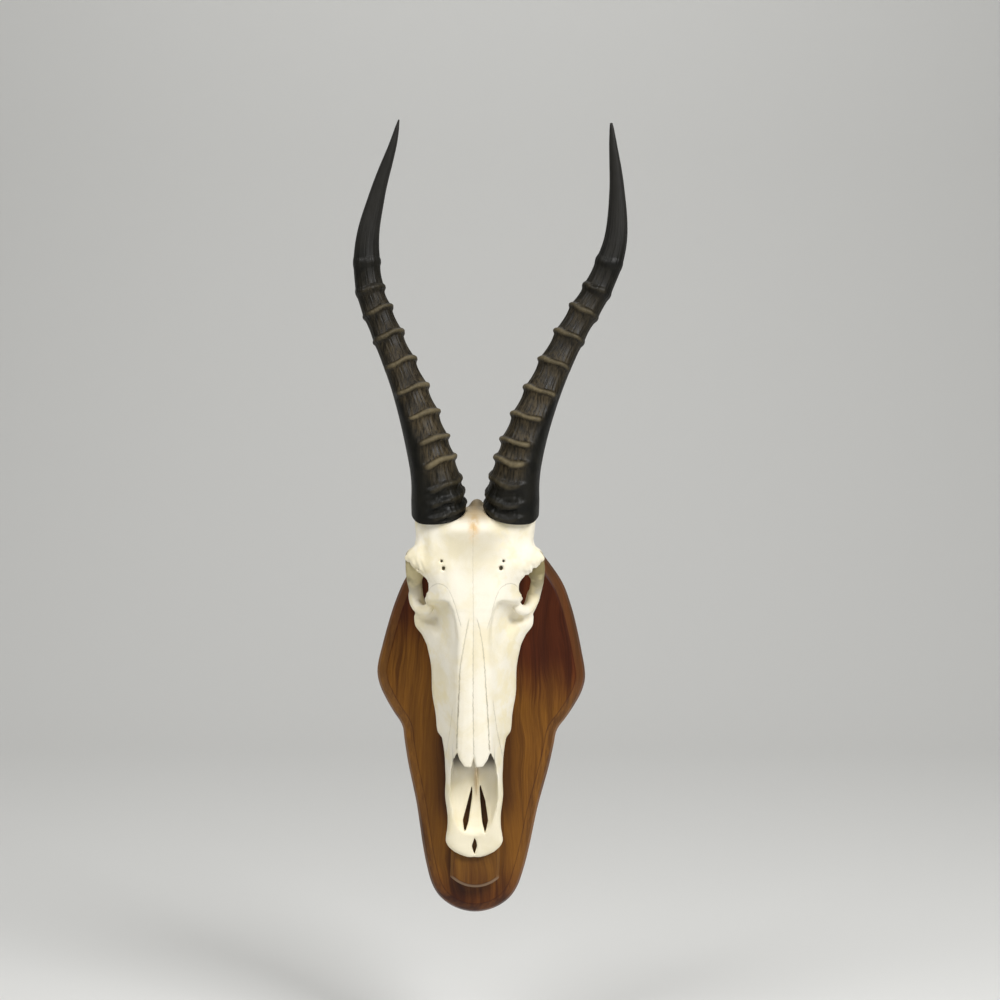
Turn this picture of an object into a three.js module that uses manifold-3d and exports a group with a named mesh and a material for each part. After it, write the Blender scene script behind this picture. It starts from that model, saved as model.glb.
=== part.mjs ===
// Blesbok skull with both horns on a wooden shield, in millimetres.
// Z is up along the face, the wall lies at y = 0 and the face looks along -Y.
// Depth is the distance out from the wall, so y = -depth. X = 0 is the skull's midline.
import * as THREE from "three";
import { mergeVertices } from "three/addons/utils/BufferGeometryUtils.js";
import Module from "manifold-3d";

const wasm = await Module();
wasm.setup();

const FIT = 0.35;
const SKULL_SIDES = 32;
const HORN_SIDES = 12;
const PLAQUE_THICK = 22;
const PLAQUE_LEAN = 0.0315;
const PLAQUE_SHIFT = 6.2;
const PLAQUE_SIDES = 64;
const BLOCK_FACE = 37.4;
const BLOCK_HALF = 21.6;
const BLOCK_CHAMFER = 3.2;
const CROWN_DEPTH = 22.8;
const ROOT_DEPTH = 50;
const HORN_SEAT = 135.5;
const HORN_DROOP = 0.34;
const DROOP_REACH = 42;
const RIDGE_RISE = 2.9;
const RIDGE_HALF = 2.7;

function at(x, depth, z) {
  return new THREE.Vector3(x, -depth, z);
}

// One closed skin over a row of rings that all have the same number of points.
function skin(rings) {
  const count = rings[0].length;
  const points = rings.flat();
  const ends = [rings[0], rings[rings.length - 1]].map((ring) =>
    ring.reduce((sum, p) => sum.add(p), new THREE.Vector3()).divideScalar(count),
  );
  const first = points.length;
  const index = [];
  points.push(...ends);
  for (let i = 0; i < count; i++) {
    const j = (i + 1) % count;
    index.push(first, j, i);
    for (let k = 0; k < rings.length - 1; k++) {
      const a = k * count;
      const b = a + count;
      index.push(a + i, a + j, b + j, a + i, b + j, b + i);
    }
    const last = (rings.length - 1) * count;
    index.push(first + 1, last + i, last + j);
  }
  return new THREE.BufferGeometry().setFromPoints(points).setIndex(index);
}

// A geometry as a solid; a skin whose rings run the other way round is turned to face out.
function solid(geometry) {
  const bare = new THREE.BufferGeometry();
  bare.setAttribute("position", geometry.getAttribute("position"));
  bare.setIndex(geometry.index);
  const merged = mergeVertices(bare, 1e-4);
  const vertProperties = merged.attributes.position.array;
  const triVerts = new Uint32Array(merged.index.array);
  const made = new wasm.Manifold(new wasm.Mesh({ numProp: 3, vertProperties, triVerts }));
  if (made.volume() > 0) return made;
  for (let i = 0; i < triVerts.length; i += 3) {
    [triVerts[i + 1], triVerts[i + 2]] = [triVerts[i + 2], triVerts[i + 1]];
  }
  return new wasm.Manifold(new wasm.Mesh({ numProp: 3, vertProperties, triVerts }));
}

function geometryOf(made) {
  const mesh = made.getMesh();
  return new THREE.BufferGeometry()
    .setAttribute("position", new THREE.BufferAttribute(mesh.vertProperties, mesh.numProp))
    .setIndex(new THREE.BufferAttribute(mesh.triVerts, 1));
}

function mirrored(made) {
  return made.mirror([1, 0, 0]);
}

function withMirror(made) {
  return made.add(mirrored(made));
}

// A closed cross-section at height z from the points of its right half, given as [x, depth].
function section(z, half, sides) {
  const left = half.slice(1, -1).reverse();
  const ring = [...half.map(([x, d]) => at(x, d, z)), ...left.map(([x, d]) => at(-x, d, z))];
  const curve = new THREE.CatmullRomCurve3(ring, true, "centripetal");
  return Array.from({ length: sides }, (_, i) => curve.getPoint(i / sides));
}

// A rod of oval cross-section through points [x, depth, z, half width, half thickness].
function rod(stops, sides, steps) {
  const line = new THREE.CatmullRomCurve3(stops.map(([x, d, z]) => at(x, d, z)));
  const size = new THREE.CatmullRomCurve3(stops.map((s) => new THREE.Vector3(s[3], s[4], 0)));
  const rings = [];
  for (let k = 0; k <= steps; k++) {
    const along = line.getTangent(k / steps);
    const wide = new THREE.Vector3(1, 0, 0);
    wide.addScaledVector(along, -wide.dot(along)).normalize();
    const thick = new THREE.Vector3().crossVectors(along, wide);
    const half = size.getPoint(k / steps);
    const centre = line.getPoint(k / steps);
    rings.push(
      Array.from({ length: sides }, (_, i) => {
        const turn = (2 * Math.PI * i) / sides;
        return centre
          .clone()
          .addScaledVector(wide, half.x * Math.cos(turn))
          .addScaledVector(thick, half.y * Math.sin(turn));
      }),
    );
  }
  return solid(skin(rings));
}

function egg(x, depth, z, rx, rd, rz) {
  const ball = new THREE.SphereGeometry(1, 10, 7);
  ball.rotateX(Math.PI / 2).scale(rx, rd, rz).translate(x, -depth, z);
  return solid(ball);
}

// A prism through the bone from depth a to depth b, over an outline of [x, z] points.
function throughCut(outline, a, b) {
  const shape = new THREE.Shape(outline.map(([x, z]) => new THREE.Vector2(x, z)));
  const prism = new THREE.ExtrudeGeometry(shape, { depth: b - a, bevelEnabled: false });
  prism.rotateX(Math.PI / 2).translate(0, -a, 0);
  return solid(prism);
}

// Horns: stops are [x, depth, z] of the centre line, from the seat to the tip
const leftHorn = {
  line: [
    [-29.3, 102, 135], [-31.7, 105.5, 162], [-40.4, 106, 197], [-54.7, 102, 240.4],
    [-74.9, 95, 288.8], [-88.6, 92, 325.6], [-90.6, 94, 364.3], [-81, 101, 406.7],
    [-67.2, 111, 447], [-62.4, 115, 465.6],
  ],
  ridges: [141, 150.5, 160, 176.3, 193.6, 214.5, 236.5, 259.3, 283.2, 305, 324.1, 348.2],
  side: -1,
};
const rightHorn = {
  line: [
    [32.7, 102, 135], [35.4, 105.5, 162], [43.9, 106, 195.8], [60.6, 102, 239.6],
    [84.8, 95, 289.1], [107.2, 92, 327.2], [120.8, 94, 364.3], [122.1, 101, 406.7],
    [118, 111, 447], [116.4, 115, 462.8],
  ],
  ridges: [139.6, 149.4, 162, 176.5, 191.3, 212.2, 234.7, 258.9, 283.2, 304.8, 323.5, 347.3],
  side: 1,
};
// Half width of the horn across the face, by height; the last pair is the tip.
const hornWidths = [
  [135, 23.2], [147, 22.6], [176, 19.6], [215, 16.6], [240, 14.7], [260, 13.4], [285, 12.6],
  [305, 12.4], [324, 11.9], [345, 11.2], [364, 10.1], [385, 8.3], [407, 6.5], [428, 5],
  [447, 3.2], [458, 1.9], [466, 0.5],
];

function hornWidth(z) {
  const last = hornWidths.length - 1;
  if (z >= hornWidths[last][0]) return hornWidths[last][1];
  const k = Math.max(0, hornWidths.findIndex(([height]) => height > z) - 1);
  const [z0, w0] = hornWidths[k];
  const [z1, w1] = hornWidths[k + 1];
  return THREE.MathUtils.lerp(w0, w1, Math.max(0, (z - z0) / (z1 - z0)));
}

// One ring round the horn: an oval with a blunt long edge at its outer front.
function hornRing(horn, curve, z, ridge, grow = 0, lift = 0) {
  let t = 0;
  while (t < 1 && curve.getPoint(t).z < z) t += 0.001;
  const along = curve.getTangent(t);
  const droop = HORN_DROOP * Math.max(0, 1 - (z - HORN_SEAT) / DROOP_REACH);
  const normal = along.clone().add(new THREE.Vector3(0, -droop, 0)).normalize();
  const across = new THREE.Vector3(1, 0, 0);
  across.addScaledVector(normal, -across.dot(normal)).normalize();
  const front = new THREE.Vector3().crossVectors(across, normal);
  const centre = curve.getPoint(t).addScaledVector(normal, lift);
  const half = hornWidth(z) + grow;
  return Array.from({ length: HORN_SIDES }, (_, i) => {
    const turn = (2 * Math.PI * i) / HORN_SIDES;
    const inner = -horn.side * Math.cos(turn);
    const ahead = Math.sin(turn);
    const edge = Math.exp(-(((inner + 0.62) ** 2 + (ahead - 0.78) ** 2) / 0.12));
    const shown = THREE.MathUtils.smoothstep(0.75 * inner + ahead, -0.55, 0.5);
    const far = half * (1 + 0.07 * edge) + ridge * RIDGE_RISE * shown;
    return centre
      .clone()
      .addScaledVector(across, far * Math.cos(turn))
      .addScaledVector(front, far * 1.1 * ahead);
  });
}

function hornHeights(horn) {
  const stops = [[HORN_SEAT, 0]];
  horn.ridges.forEach((z, k) => {
    const next = horn.ridges[k + 1];
    const strong = k > 10 ? 0.45 : 1;
    stops.push([z - RIDGE_HALF, 0.25 * strong], [z, strong], [z + RIDGE_HALF, 0.25 * strong]);
    if (next) stops.push([(z + next) / 2, -0.25]);
  });
  for (const z of [364, 385, 407, 428, 444, 455, 461]) stops.push([z, 0]);
  return stops;
}

function hornCurve(horn) {
  return new THREE.CatmullRomCurve3(horn.line.map(([x, d, z]) => at(x, d, z)));
}

function hornSolid(horn) {
  const curve = hornCurve(horn);
  const rings = hornHeights(horn).map(([z, ridge]) => hornRing(horn, curve, z, ridge));
  return solid(skin(rings));
}

// The bony pedicel under a horn, and the room that the horn itself takes up.
function pedicel(horn) {
  const curve = hornCurve(horn);
  const rings = [-34, -16, -2, 4].map((lift) => hornRing(horn, curve, HORN_SEAT, 0, -1.6, lift));
  return solid(skin(rings));
}

function hornRoom(horn) {
  const curve = hornCurve(horn);
  const rings = [hornRing(horn, curve, HORN_SEAT, 0, 0.6, -FIT)];
  for (let k = 1; k <= 5; k++) rings.push(hornRing(horn, curve, HORN_SEAT + 6.5 * k, 1, 1));
  return solid(skin(rings));
}

// Skull: half sections [x, depth] from the top of the face round to the underside
const skullSections = [
  [-169.6, [0, 42.8], [2.4, 43], [4.4, 42.9], [5.8, 42.3], [6.4, 41.2], [6, 40], [4.6, 38.9],
    [2.6, 38.6], [0, 38.6]],
  [-168, [0, 43.6], [4.2, 44], [7.6, 43.9], [10.2, 43], [11.4, 41.7], [10.8, 40.2], [8.4, 38.6],
    [4.8, 38.2], [0, 38.4]],
  [-164.6, [0, 44.8], [6.8, 45.4], [12, 45.4], [16, 44.4], [17.8, 42.6], [17, 40.8], [13.2, 38.4],
    [8, 38], [0, 38.2]],
  [-160, [0, 46], [9, 46.7], [15.6, 47], [20.4, 45.8], [22.8, 43.6], [21.8, 41], [17.4, 38.1],
    [10.6, 37.9], [0, 38.3]],
  [-155, [0, 47], [11, 48], [18.2, 48.5], [23.4, 47], [26.1, 44.5], [25, 41.5], [19.3, 38.1],
    [12, 37.9], [0, 38.6]],
  [-150, [0, 48.5], [11, 49.5], [18, 50], [23, 48.5], [25.8, 45.5], [25, 42.5], [19, 38.2], [12, 37.9],
    [0, 39]],
  [-143, [0, 51], [11, 51.5], [17, 52], [21.5, 50.5], [23.6, 47], [23, 43.5], [18, 38.4], [11.5, 38],
    [0, 40]],
  [-132, [0, 55], [12, 55], [17.5, 55], [21.5, 53], [23.3, 49.5], [22.8, 45], [17.5, 38.6],
    [11.5, 38.2], [0, 41]],
  [-115, [0, 62], [14, 62], [20, 61], [23.8, 57], [25.3, 51.5], [24.5, 46], [18, 39.2], [12, 38.6],
    [0, 43]],
  [-97, [0, 79], [10, 78], [18.5, 72], [23, 64], [24.8, 55], [24.3, 48], [18, 40], [12, 39.3], [0, 45]],
  [-90, [0, 82.8], [10.5, 81], [17.8, 74], [22.3, 65], [25.1, 55], [24.6, 48], [18.5, 40.3],
    [13, 39.6], [0, 45.5]],
  [-79, [0, 85.3], [13.5, 83], [17.8, 76], [22, 66], [25.6, 54.8], [25, 48], [19, 40.5], [13.5, 39.8],
    [0, 46]],
  [-63, [0, 89.2], [13.4, 87], [18.2, 78.5], [23, 67.5], [28, 55.5], [27, 48.5], [21, 41], [15, 40.5],
    [0, 47]],
  [-57, [0, 90.5], [13, 88.4], [18.5, 79.8], [25.4, 67.8], [32, 56], [30.6, 49], [23.5, 41.3],
    [15.8, 40.8], [0, 47.3]],
  [-40, [0, 94], [12.3, 92], [19.5, 82.5], [28, 70], [34.2, 57.5], [32.5, 50], [28.5, 42.2],
    [18, 41.6], [0, 48.5]],
  [-22, [0, 97.6], [12.2, 95.6], [20.3, 85.6], [29.2, 73.6], [36.5, 60], [35.5, 52], [31.5, 42.4],
    [20.5, 42], [0, 49.5]],
  [0, [0, 102], [13, 100], [21.5, 89], [30, 76.5], [37, 63], [37, 54], [34.6, 42.6], [22.5, 42],
    [0, 50]],
  [19, [0, 105.5], [13.8, 103.6], [22.5, 92], [31, 78], [40.8, 65], [40, 56], [36, 42.6], [23.5, 42],
    [0, 50]],
  [28, [0, 107.3], [14.2, 105.4], [23, 93.5], [32, 79], [45, 65.5], [43.5, 57], [36.3, 42.6],
    [23.5, 42], [0, 49.7]],
  [36, [0, 108.8], [14.8, 107], [23.6, 95], [33, 80], [51, 65.5], [48, 57.5], [36.5, 42.8],
    [23.5, 42.2], [0, 49.5]],
  [44, [0, 110.4], [15.6, 108.5], [24.5, 96.5], [33.5, 82], [52.2, 67], [48, 58], [36, 43.5],
    [22.5, 42.6], [0, 49.2]],
  [49.5, [0, 111.6], [16.6, 109.8], [26, 99.5], [34.5, 85.5], [47, 73], [43, 62], [33, 45.5],
    [21, 43.4], [0, 49]],
  [54, [0, 112.6], [18, 111], [29.5, 104], [41.4, 91], [40, 77], [34, 65], [28, 49], [18, 44.5],
    [0, 49]],
  [60, [0, 113.8], [19, 112.4], [30, 106], [41.4, 94], [36, 82], [26, 70], [22, 55], [15, 45.5],
    [0, 48.5]],
  [68, [0, 115.2], [20, 113.9], [30, 108.3], [38.8, 99], [30, 89], [18, 78], [17, 60], [13, 45],
    [0, 47]],
  [76, [0, 116.5], [21, 115.2], [31, 110], [38.8, 103.5], [27, 95], [16, 80], [15, 61], [12, 43.5],
    [0, 45]],
  [83, [0, 117.5], [23, 116.2], [36, 110.8], [45, 104.8], [31, 96.5], [17, 80], [15, 59], [11, 41],
    [0, 42.5]],
  [90, [0, 118.5], [26, 117.2], [43.5, 110.8], [53, 104], [38, 96], [23, 78], [20, 56], [12, 38.5],
    [0, 40]],
  [96, [0, 119.3], [28, 118], [48, 111.2], [58.6, 103.5], [42, 95.5], [29, 76], [26, 54], [13, 36],
    [0, 38]],
  [102, [0, 120], [27, 119], [45.5, 112.6], [54.6, 104.2], [41.5, 94.6], [31.5, 74], [28.5, 52],
    [14, 35], [0, 36.5]],
  [107, [0, 120.5], [26, 119.5], [43, 114], [50, 105.5], [41, 94.5], [33, 72], [30, 50], [14, 34.5],
    [0, 35.5]],
  [118, [0, 120.2], [24, 119.6], [40.5, 114.6], [47.6, 106], [41, 92], [36, 70], [32, 50],
    [18, 36.5], [0, 37]],
  [128, [0, 117.5], [20, 117.6], [37.5, 113.5], [45.6, 105], [40.5, 90], [36, 72], [30, 55],
    [18, 44], [0, 43]],
  [134, [0, 112.5], [15, 113], [30, 109], [38, 101], [38.5, 88], [34.5, 74], [28, 62], [15, 54],
    [0, 53]],
  [138.5, [0, 98], [13, 99], [23, 98], [29, 94], [31, 89], [29, 82], [22, 76], [12, 73.5], [0, 73]],
];

// The nose cavity under the nasal bones: [z, half width, top depth, floor depth].
const noseStops = [
  [-148, 7, 54, 48.6], [-143, 13.5, 60, 46.4], [-132, 17, 66, 45.8], [-115, 19.6, 74, 47.6],
  [-97, 19.8, 77.5, 50], [-79, 18.2, 80.4, 52.5], [-60, 16.4, 83, 56], [-38, 10, 84, 64],
];
const noseWindow = [
  [-14.2, -71.5], [-12.3, -78], [-8, -84.5], [-2, -85.2], [0, -75], [2, -85.2], [8, -84.5],
  [12.3, -78], [14.2, -71.5], [18.6, -84], [20, -97], [20, -115], [17.4, -131], [14.4, -141],
  [8, -147.5], [0, -149.5], [-8, -147.5], [-14.4, -141], [-17.4, -131], [-20, -115], [-20, -97],
  [-18.6, -84],
];
const leftSlit = [[-1.8, -106], [-4.4, -115], [-10.1, -137], [-8.4, -148.5], [-5.3, -138.6], [-1.8, -115]];
const rightSlit = [[4.8, -104], [9.7, -119], [12.3, -137], [9.7, -148.5], [7, -138.6], [5.3, -119]];
const tipGap = [[0.7, -150.5], [-2.2, -159.7], [0, -167.8], [2.6, -159]];

// Upper cheek teeth on one side, front to back: [z, length, width, x].
const toothRow = [
  [-29, 7.4, 6.6, 23.6],
  [-20, 9.4, 7.8, 25.8],
  [-9.6, 10.2, 8.6, 27.4],
  [3, 13.6, 9.6, 28.6],
  [19.5, 17.6, 10.2, 29.5],
  [38.5, 18.6, 9.8, 29.3],
];

function noseCavity() {
  const rings = noseStops.map(([z, w, top, floor]) => {
    const middle = (top + floor) / 2;
    const half = [[0, top], [0.62 * w, top - 1.5], [w, middle], [0.8 * w, floor + 2.5], [0, floor]];
    return section(z, half, 16);
  });
  return solid(skin(rings));
}

// The groove in the jaw that holds one side's row of teeth.
function toothGroove() {
  const tall = ROOT_DEPTH + FIT - 30;
  const boxes = toothRow.map(([z, length, width, x]) => {
    const box = new THREE.BoxGeometry(width + 2 * FIT, tall, length + 3 * FIT);
    return solid(box.translate(x, -30 - tall / 2, z));
  });
  return boxes.reduce((all, box) => all.add(box));
}

// The bar behind each orbit, wide under the brow; the left one is the broader of the two.
const leftBar = [
  [-46, 97, 95, 9, 4], [-47.6, 94.5, 87, 8.4, 4.8], [-50.4, 88, 78, 6.2, 5.6], [-50, 78, 69, 6, 5.4],
  [-49, 71, 60, 5.8, 5.4], [-46, 67, 51, 6, 6.2], [-40, 65, 43, 6, 7],
];
const rightBar = [
  [47, 97, 95, 9, 4], [49.5, 94.5, 87, 7.6, 4.8], [53, 88, 78, 5, 5.6], [52.6, 78, 69, 4.9, 5.4],
  [51, 71, 60, 5, 5.4], [47.5, 67, 51, 5.6, 6.2], [40, 65, 43, 6, 7],
];

function skullSolid() {
  const shell = skullSections.map(([z, ...half]) => section(z, half, SKULL_SIDES));
  const cheekArch = rod(
    [
      [50, 70, 58, 3.4, 5], [53.5, 61, 78, 3.2, 5.4], [51, 54, 97, 3.2, 5.6], [43, 50, 112, 4, 6],
      [32, 49, 121, 5, 7],
    ],
    8,
    6,
  );
  const sideParts = cheekArch
    .add(egg(17, 35, 104, 8, 8, 12))
    .add(egg(24, 36, 122, 4, 10, 5))
    .add(egg(12, 46, 129, 7, 8, 8));
  let skull = solid(skin(shell)).add(withMirror(sideParts));
  skull = skull.add(rod(leftBar, 8, 9)).add(rod(rightBar, 8, 9));
  skull = skull.add(pedicel(leftHorn)).add(pedicel(rightHorn));
  const pits = [[-26.5, 93.7, 1.3], [-24.8, 87.4, 1.6], [25.6, 93.7, 1.3], [23.5, 87.8, 1.7]];
  let cuts = noseCavity().add(throughCut(noseWindow, 55, 110));
  cuts = cuts.add(throughCut(leftSlit, 30, 60)).add(throughCut(rightSlit, 30, 60));
  cuts = cuts.add(throughCut(tipGap, 30, 60)).add(withMirror(toothGroove()));
  for (const [x, z, r] of pits) {
    const pit = new THREE.CylinderGeometry(r, 0.7 * r, 12, 8).translate(x, -117, z);
    cuts = cuts.add(solid(pit));
  }
  cuts = cuts.add(egg(0, 40, 64, 8.5, 12, 20)).add(egg(0, 50, 135, 8, 8, 8));
  cuts = cuts.add(hornRoom(leftHorn)).add(hornRoom(rightHorn));
  const vomer = rod(
    [[0, 60, -70, 0.9, 8], [1.6, 55, -90, 0.9, 6], [3, 50.5, -103, 0.8, 3.5], [2, 47, -118, 0.8, 1.6]],
    6,
    6,
  );
  return skull.subtract(cuts).add(vomer);
}

// A cheek tooth: a tall prism with two lobes on its cheek side and a hollowed crown.
function toothSolid([z, length, width, x], side) {
  const outline = [
    [-0.5, -0.4], [-0.5, 0.3], [-0.34, 0.5], [-0.16, 0.47], [0, 0.34], [0.16, 0.47], [0.34, 0.5],
    [0.5, 0.3], [0.5, -0.4], [0.28, -0.5], [0, -0.4], [-0.28, -0.5],
  ];
  const levels = [[ROOT_DEPTH, 0.85], [CROWN_DEPTH + 2.5, 1], [CROWN_DEPTH, 0.9]];
  const rings = levels.map(([depth, size]) =>
    outline.map(([a, b]) => at(side * (x + b * width * size), depth, z + a * length * size)),
  );
  return solid(skin(rings));
}

// Plaque: half outline [half width, height] in the board's own upright frame
const plaqueHalf = [
  [0, 118], [28, 113.5], [48, 101.5], [60, 88], [71, 72], [79, 52], [84.8, 32], [89.5, 12],
  [92.8, -4], [93.2, -13], [90.5, -24], [84.5, -36], [77, -48], [71.5, -55.5], [68.8, -61],
  [67, -72], [63, -93], [58.6, -111], [54.3, -129], [51, -147], [47.8, -165], [43.8, -183],
  [38.5, -200], [32, -210.5], [22, -218.5], [11, -223], [0, -224.5],
];

// The outline moved inwards by `inset` and set at a depth, in the leaning frame of the board.
function boardRing(outline, inset, depth) {
  const count = outline.length;
  return outline.map((p, i) => {
    const before = outline[(i + count - 1) % count];
    const after = outline[(i + 1) % count];
    const along = after.clone().sub(before).normalize();
    const moved = new THREE.Vector2(p.x + along.y * inset, p.y - along.x * inset);
    return onBoard(moved.x, depth, moved.y);
  });
}

function onBoard(u, depth, v) {
  const cos = Math.cos(PLAQUE_LEAN);
  const sin = Math.sin(PLAQUE_LEAN);
  return at(PLAQUE_SHIFT + u * cos + v * sin, depth, v * cos - u * sin);
}

function plaqueSolid() {
  const left = plaqueHalf.slice(1, -1).reverse();
  const points = [...plaqueHalf, ...left.map(([u, v]) => [-u, v])];
  const curve = new THREE.CatmullRomCurve3(
    points.map(([u, v]) => new THREE.Vector3(u, v, 0)),
    true,
    "centripetal",
  );
  const outline = curve.getSpacedPoints(PLAQUE_SIDES).slice(0, -1);
  const flat = outline.map((p) => new THREE.Vector2(p.x, p.y));
  const profile = [[0, 0.8], [0.8, 0], [11, 0], [16.5, 2.4], [PLAQUE_THICK, 9.5]];
  const board = solid(skin(profile.map(([depth, inset]) => boardRing(flat, inset, depth))));
  return board.subtract(keyhole());
}

// The hanger: a blind round pocket with a narrow slot above it, in the back of the board.
function keyhole() {
  const pocket = new THREE.CylinderGeometry(5, 5, 18, 16).translate(8.2, 0, 64);
  const slot = new THREE.BoxGeometry(5, 18, 16).translate(8.2, 0, 72);
  return solid(pocket).add(solid(slot));
}

function blockSolid() {
  const outline = [];
  for (let i = 0; i <= 14; i++) {
    const turn = THREE.MathUtils.lerp(-0.79, 0.79, i / 14);
    outline.push(new THREE.Vector2(-30.4 * Math.sin(turn), -167.5 - 30.4 * Math.cos(turn)));
  }
  outline.push(new THREE.Vector2(-BLOCK_HALF, -96), new THREE.Vector2(-BLOCK_HALF + 4, -92));
  outline.push(new THREE.Vector2(BLOCK_HALF - 4, -92), new THREE.Vector2(BLOCK_HALF, -96));
  const profile = [[PLAQUE_THICK + FIT, 0], [BLOCK_FACE - BLOCK_CHAMFER, 0], [BLOCK_FACE, BLOCK_CHAMFER]];
  return solid(skin(profile.map(([depth, inset]) => boardRing(outline, inset, depth))));
}

const group = new THREE.Group();
group.name = "blesbok_skull";

function addPiece(name, made, colour, roughness) {
  const material = new THREE.MeshStandardMaterial({ color: colour, roughness });
  const mesh = new THREE.Mesh(geometryOf(made), material);
  mesh.name = name;
  group.add(mesh);
}

addPiece("skull", skullSolid(), 0xece4cf, 0.75);
addPiece("horn_left", hornSolid(leftHorn), 0x2c2620, 0.55);
addPiece("horn_right", hornSolid(rightHorn), 0x2c2620, 0.55);
toothRow.forEach((tooth, k) => {
  addPiece("tooth_left_" + (k + 1), toothSolid(tooth, -1), 0xe3d8ba, 0.5);
  addPiece("tooth_right_" + (k + 1), toothSolid(tooth, 1), 0xe3d8ba, 0.5);
});
addPiece("plaque", plaqueSolid(), 0x5b3216, 0.4);
addPiece("nose_block", blockSolid(), 0x6e3f1c, 0.4);

export default group;
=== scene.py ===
# Blesbok skull with both horns on a bevelled wooden shield.
# Lengths in the settings are in millimetres.
# Depth is the distance forwards from the shield's flat back, so y = -depth.
import math

import bpy
import numpy as np
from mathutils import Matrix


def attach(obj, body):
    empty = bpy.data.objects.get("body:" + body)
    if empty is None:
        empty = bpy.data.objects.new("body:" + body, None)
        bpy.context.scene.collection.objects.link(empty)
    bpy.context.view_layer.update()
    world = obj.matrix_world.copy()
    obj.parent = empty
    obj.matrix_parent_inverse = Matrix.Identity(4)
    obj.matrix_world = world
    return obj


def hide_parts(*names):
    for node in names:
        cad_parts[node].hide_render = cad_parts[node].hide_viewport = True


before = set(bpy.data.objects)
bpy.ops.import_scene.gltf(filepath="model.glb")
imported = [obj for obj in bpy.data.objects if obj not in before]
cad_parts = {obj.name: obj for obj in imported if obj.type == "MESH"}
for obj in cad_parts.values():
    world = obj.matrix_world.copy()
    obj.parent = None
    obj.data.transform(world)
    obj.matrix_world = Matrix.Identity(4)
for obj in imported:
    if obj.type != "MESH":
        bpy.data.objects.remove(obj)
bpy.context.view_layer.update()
mm = 0.001


# A curve through given points, as a draughtsman's spline: t runs over the points' numbers.
def curveThrough(points, t, closed=False):
    p = np.asarray(points, float)
    n = len(p)
    t = np.asarray(t, float)
    if closed:
        i = np.floor(t).astype(int) % n
        w = t - np.floor(t)
        a, b, c, d = p[(i - 1) % n], p[i], p[(i + 1) % n], p[(i + 2) % n]
    else:
        p = np.vstack([2 * p[0] - p[1], p, 2 * p[-1] - p[-2]])
        i = np.clip(np.floor(t).astype(int), 0, n - 2)
        w = t - i
        a, b, c, d = p[i], p[i + 1], p[i + 2], p[i + 3]
    spans = [np.linalg.norm(v, axis=-1)[..., None] ** 0.5 for v in (b - a, c - b, d - c)]
    k0, k1, k2 = np.maximum(spans, 1e-4)
    m0 = ((b - a) / k0 - (c - a) / (k0 + k1) + (c - b) / k1) * k1
    m1 = ((c - b) / k1 - (d - b) / (k1 + k2) + (d - c) / k2) * k1
    w = w[..., None]
    return b + m0 * w + (3 * (c - b) - 2 * m0 - m1) * w**2 + (2 * (b - c) + m0 + m1) * w**3


# Rises softly from 0 to 1 between two values.
def smoothStep(x, low, high):
    s = np.clip((x - low) / (high - low), 0, 1)
    return s * s * (3 - 2 * s)


def meshPiece(name, verts, faces, node, marks=None):
    mesh = bpy.data.meshes.new(name)
    mesh.from_pydata(np.asarray(verts).tolist(), [], faces)
    mesh.update()
    for mark, values in (marks or {}).items():
        layer = mesh.attributes.new(mark, "FLOAT", "POINT")
        layer.data.foreach_set("value", np.asarray(values, np.float32))
    piece = bpy.data.objects.new(name, mesh)
    bpy.context.scene.collection.objects.link(piece)
    for poly in mesh.polygons:
        poly.use_smooth = True
    return join(piece, name, node)


def deselectAll():
    for obj in bpy.context.selected_objects:
        obj.select_set(False)


# Gives a finished piece its place in the object.
def join(piece, name, node):
    piece.name = name
    piece.data.name = name
    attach(piece, "root")
    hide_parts(node)
    return piece


def applyModifier(piece, kind, **settings):
    bpy.context.view_layer.objects.active = piece
    made = piece.modifiers.new(kind.lower(), kind)
    for key, value in settings.items():
        setattr(made, key, value)
    bpy.ops.object.modifier_apply(modifier=made.name)


# Signed distances in millimetres on a grid of x, depth and height; bone is negative.
class Field:
    def __init__(self, low, high, cell):
        self.low = np.array(low)
        self.cell = cell
        counts = [int((b - a) / cell) + 1 for a, b in zip(low, high)]
        self.axes = [a + cell * np.arange(n) for a, n in zip(low, counts)]
        self.values = np.full(counts, 50.0, np.float32)
        self.whole = (slice(None),) * 3

    def window(self, low, high):
        cuts = []
        for axis, a, b in zip(self.axes, low, high):
            cuts.append(slice(int(np.searchsorted(axis, a)), int(np.searchsorted(axis, b))))
        return tuple(cuts)

    def points(self, cuts):
        parts = [axis[c].astype(np.float32) for axis, c in zip(self.axes, cuts)]
        return np.meshgrid(*parts, indexing="ij")

    def add(self, cuts, shape, blend):
        self.values[cuts] = smoothMin(self.values[cuts], shape, blend)

    def carve(self, cuts, shape, blend):
        self.values[cuts] = -smoothMin(-self.values[cuts], shape, blend)


def smoothMin(a, b, k):
    h = np.maximum(k - np.abs(a - b), 0) / k
    return np.minimum(a, b) - h * h * k * 0.25


# Signed distance of the points (x, y) to a closed outline, negative inside.
def outlineDistance(x, y, outline):
    best = np.full(x.shape, 1e9, np.float32)
    inside = np.zeros(x.shape, bool)
    outline = np.asarray(outline, np.float32)
    for (ax, ay), (bx, by) in zip(outline, np.roll(outline, -1, axis=0)):
        ex, ey = bx - ax, by - ay
        length = ex * ex + ey * ey
        if length < 1e-9:
            continue
        px, py = x - ax, y - ay
        t = np.clip((px * ex + py * ey) / length, 0, 1)
        best = np.minimum(best, (px - t * ex) ** 2 + (py - t * ey) ** 2)
        if ay != by:
            crosses = (ay > y) != (by > y)
            inside ^= crosses & (x < (y - ay) * ex / ey + ax)
    return np.where(inside, -1, 1) * np.sqrt(best)


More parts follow.
